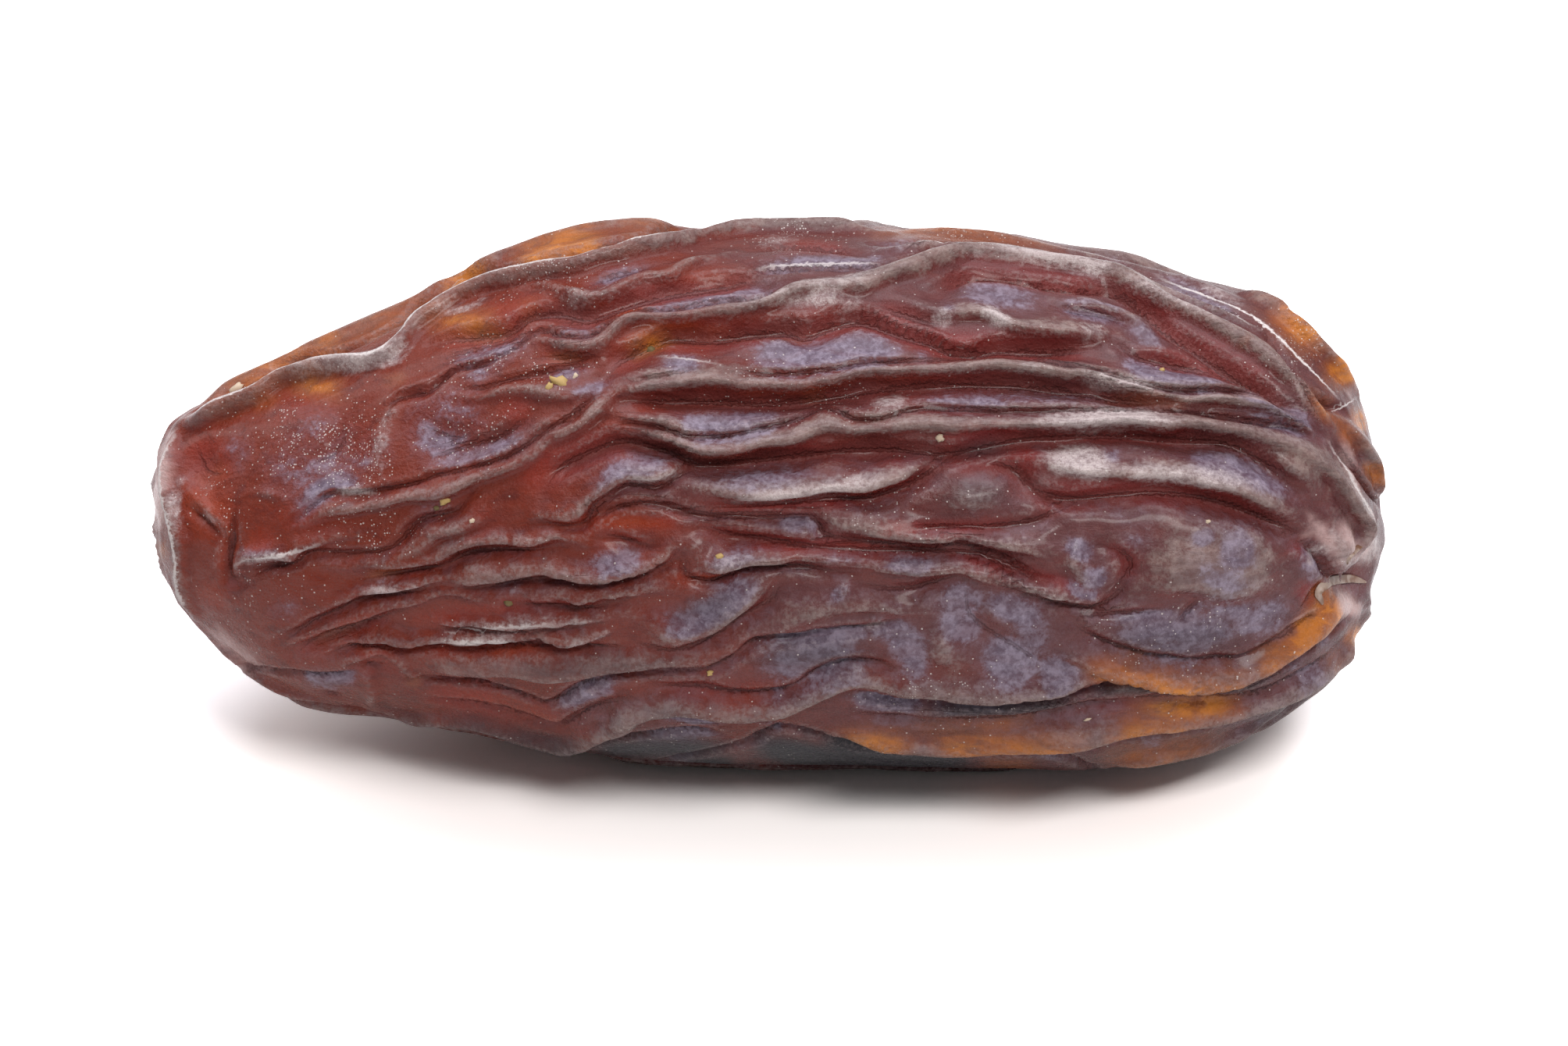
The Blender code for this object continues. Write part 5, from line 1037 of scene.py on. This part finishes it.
def torn_edges(skin_under):
    """Thin curled edges of skin, each drawn out of a ball along its route, in one piece."""
    torn = bmesh.new()
    for route, half_width, thickness, lift in TORN_EDGES:
        middle = through(route, 8)
        line = np.array([np.array(skin_under(pixel)) / MM for pixel in middle]) + VIEW_NEAR * lift
        for _round in range(6):
            line[1:-1] = (line[:-2] + 2 * line[1:-1] + line[2:]) / 4
        course = np.gradient(line, axis=0)
        across = np.cross(course, VIEW_NEAR)
        across /= np.linalg.norm(across, axis=1)[:, None]
        run = np.linspace(-1.0, 1.0, len(line))
        made = bmesh.ops.create_uvsphere(torn, u_segments=12, v_segments=32, radius=1.0)["verts"]
        for corner in made:
            x, y, z = corner.co
            place = np.array([np.interp(z, run, line[:, k]) for k in range(3)])
            wide = np.array([np.interp(z, run, across[:, k]) for k in range(3)])
            curl = VIEW_NEAR * (y * thickness + 0.5 * half_width * x * x)
            corner.co = (place + wide * x * half_width + curl) * MM
    mesh = bpy.data.meshes.new("stem_scar_edges")
    torn.to_mesh(mesh)
    torn.free()
    mesh.shade_smooth()
    material = bpy.data.materials.new("torn_skin")
    material.use_nodes = True
    tree = material.node_tree
    place = add(tree, "ShaderNodeTexCoord").outputs["Object"]
    streaked = add(tree, "ShaderNodeTexNoise", Vector=place, Scale=2200.0, Detail=4.0).outputs["Fac"]
    brown, grey = colour(0.17, 0.08, 0.045), colour(0.36, 0.27, 0.22)
    shader = tree.nodes["Principled BSDF"]
    tree.links.new(tinted(tree, graded(tree, streaked, 0.38, 0.62), brown, grey), shader.inputs["Base Color"])
    shader.inputs["Roughness"].default_value = 0.45
    mesh.materials.append(material)
    return bpy.data.objects.new("stem_scar_edges", mesh)


# Crumbs and flecks stuck to the skin: place in photograph pixels, length and width in pixels, turn and colour
CRUMBS = (
    ((305, 497), 20, 13, 0.5, "beige"), ((1203, 565), 10, 9, 0.2, "beige"), ((722, 491), 26, 14, -0.4, "straw"),
    ((706, 497), 12, 9, 0.8, "straw"), ((575, 643), 17, 10, 0.6, "straw"), ((655, 770), 12, 9, 0.1, "olive"),
    ((836, 452), 15, 10, -0.5, "olive"), ((920, 710), 10, 8, 0.3, "straw"), ((608, 666), 7, 6, 0.0, "beige"),
    ((1538, 667), 7, 6, 0.4, "beige"), ((908, 858), 8, 7, 0.2, "straw"), ((1480, 478), 8, 6, 0.2, "straw"),
    ((566, 652), 8, 6, 0.0, "olive"), ((740, 484), 9, 6, 1.2, "beige"), ((1392, 918), 12, 4, 0.5, "beige"),
)
CRUMB_COLOURS = {"beige": (0.52, 0.41, 0.30), "straw": (0.42, 0.28, 0.10), "olive": (0.13, 0.09, 0.03)}


# How high a crumb stands over the skin, as a share of its width, and how uneven it is
CRUMB_STANDS, CRUMB_UNEVEN = 0.30, 0.35


def crumbs(shade, heights_at):
    """The crumbs of one colour: uneven pebbles pressed on to the skin, in one piece."""
    draw = random.Random(CRUMB_COLOURS[shade][0])
    stuck = bmesh.new()
    for pixel, length, width, turn, crumb_shade in CRUMBS:
        if crumb_shade != shade:
            continue
        foot = heights_at(pixel)
        made = bmesh.ops.create_icosphere(stuck, subdivisions=2, radius=0.5)["verts"]
        size = np.array([length, width, 2 * CRUMB_STANDS * width]) / PIXELS_PER_MM * MM
        for corner in made:
            corner.co = corner.co * (1.0 + CRUMB_UNEVEN * draw.uniform(-1.0, 1.0))
        bmesh.ops.scale(stuck, verts=made, vec=size)
        bmesh.ops.rotate(stuck, verts=made, matrix=Matrix.Rotation(turn, 3, "Z"))
        bmesh.ops.rotate(stuck, verts=made, matrix=Matrix.Rotation(math.radians(90.0) - VIEW_ELEVATION, 3, "X"))
        bmesh.ops.translate(stuck, verts=made, vec=foot)
    mesh = bpy.data.meshes.new("crumbs_" + shade)
    stuck.to_mesh(mesh)
    stuck.free()
    mesh.shade_smooth()
    material = bpy.data.materials.new("crumb_" + shade)
    material.use_nodes = True
    shader = material.node_tree.nodes["Principled BSDF"]
    shader.inputs["Base Color"].default_value = colour(*CRUMB_COLOURS[shade])
    shader.inputs["Roughness"].default_value = 0.7
    mesh.materials.append(material)
    return bpy.data.objects.new("crumbs_" + shade, mesh)


# The sheet's whiteness to the room's light, and to the camera, which is exposed to see it burnt out
SHEET_WHITE, SHEET_SEEN = (0.78, 0.78, 0.78), (1.60, 1.555, 1.545)


def floor():
    """A white sheet for the fruit to lie on, a hair under it."""
    sheet = bmesh.new()
    bmesh.ops.create_grid(sheet, x_segments=1, y_segments=1, size=3.0)
    bmesh.ops.translate(sheet, verts=sheet.verts, vec=(0.0, 0.0, -0.02 * MM))
    mesh = bpy.data.meshes.new("white_sheet")
    sheet.to_mesh(mesh)
    sheet.free()
    made = bpy.data.objects.new("white_sheet", mesh)
    material = bpy.data.materials.new("white_sheet")
    material.use_nodes = True
    tree = material.node_tree
    tree.nodes.clear()
    seen = add(tree, "ShaderNodeLightPath").outputs["Is Camera Ray"]
    white = tinted(tree, seen, colour(*SHEET_WHITE), colour(*SHEET_SEEN))
    paper = add(tree, "ShaderNodeBsdfDiffuse", Color=white)
    add(tree, "ShaderNodeOutputMaterial", Surface=paper.outputs[0])
    mesh.materials.append(material)
    bpy.context.scene.collection.objects.link(made)


# Soft lamps: place and aim in metres, width, length, power and colour
LAMPS = {
    "overhead": ((0.02, 0.14, 0.50), (0.0, 0.0, 0.01), 0.60, 0.32, 2.6, (0.92, 0.92, 1.0)),
    "left window": ((-0.32, 0.26, 0.28), (0.0, 0.0, 0.01), 0.12, 0.30, 0.35, (1.0, 1.0, 1.0)),
    "front window": ((0.15, -0.28, 0.43), (0.0, 0.0, 0.01), 0.26, 0.12, 1.72, (1.0, 0.97, 0.95)),
}
ROOM_DARK, ROOM_BRIGHT = 0.10, 0.74
ROOM_FADE = (0.15, 0.95)
ROOM_TOWARD = (0.0, 0.45, 0.89)

def lights():
    for name, (place, aim, wide, long, power, tint) in LAMPS.items():
        lamp = bpy.data.lights.new(name, "AREA")
        lamp.shape = "RECTANGLE"
        lamp.size, lamp.size_y = wide, long
        lamp.energy, lamp.color = power, tint
        made = bpy.data.objects.new(name, lamp)
        made.location = place
        made.rotation_euler = (Vector(aim) - Vector(place)).to_track_quat("-Z", "Y").to_euler()
        made.visible_camera = False
        bpy.context.scene.collection.objects.link(made)
    world = bpy.data.worlds.new("white room")
    world.use_nodes = True
    tree = world.node_tree
    way = add(tree, "ShaderNodeTexCoord").outputs["Generated"]
    up = add(tree, "ShaderNodeVectorMath", {"operation": "DOT_PRODUCT"}, _0=way, _1=ROOM_TOWARD).outputs["Value"]
    lit = graded(tree, up, *ROOM_FADE, ROOM_DARK, ROOM_BRIGHT)
    seen = add(tree, "ShaderNodeLightPath").outputs["Is Camera Ray"]
    room = tree.nodes["Background"]
    room.inputs["Color"].default_value = colour(1.0, 1.0, 1.0)
    tree.links.new(work(tree, "MAXIMUM", seen, lit), room.inputs["Strength"])
    bpy.context.scene.world = world


# The photograph's frame and the lens that sees it
PICTURE = (2008.0, 1340.0)
LENS = 400.0
SENSOR = 36.0


def camera():
    """A long lens that sees the fruit as the photograph does, and keeps its pixels where they were read."""
    made = bpy.data.objects.new("camera", bpy.data.cameras.new("camera"))
    made.data.lens, made.data.sensor_width = LENS, SENSOR
    away = PICTURE[0] / PIXELS_PER_MM * LENS / SENSOR
    right = (PICTURE[0] / 2 - MIDDLE_PIXEL[0]) / PIXELS_PER_MM
    up = (MIDDLE_PIXEL[1] - PICTURE[1] / 2) / PIXELS_PER_MM
    aim = np.array([SHIFT_ALONG + right, AXIS_OFFSET, AXIS_HEIGHT]) + up * VIEW_UP
    made.location = (aim + away * VIEW_NEAR) * MM
    made.rotation_euler = (math.radians(90.0) - VIEW_ELEVATION, 0.0, 0.0)
    made.data.clip_start, made.data.clip_end = 0.01, 20.0
    bpy.context.scene.collection.objects.link(made)
    bpy.context.scene.camera = made


def main():
    fruit = skin()
    bpy.context.scene.collection.objects.link(fruit)
    fruit.data.materials.append(skin_material())
    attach(fruit, BODY)
    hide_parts(NODE)
    facing = [v.co for v in fruit.data.vertices if v.normal.dot(Vector(VIEW_NEAR)) > 0.1]
    skin_points = np.array(facing)
    seen_at = in_the_picture(skin_points / MM)

    def heights_at(pixel):
        nearest = np.linalg.norm(seen_at - np.array(pixel), axis=1).argmin()
        return skin_points[nearest]

    for stuck in [torn_edges(heights_at)] + [crumbs(shade, heights_at) for shade in CRUMB_COLOURS]:
        bpy.context.scene.collection.objects.link(stuck)
        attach(stuck, BODY)
    floor()
    lights()
    camera()
    bpy.context.scene.view_settings.view_transform = "Standard"


main()
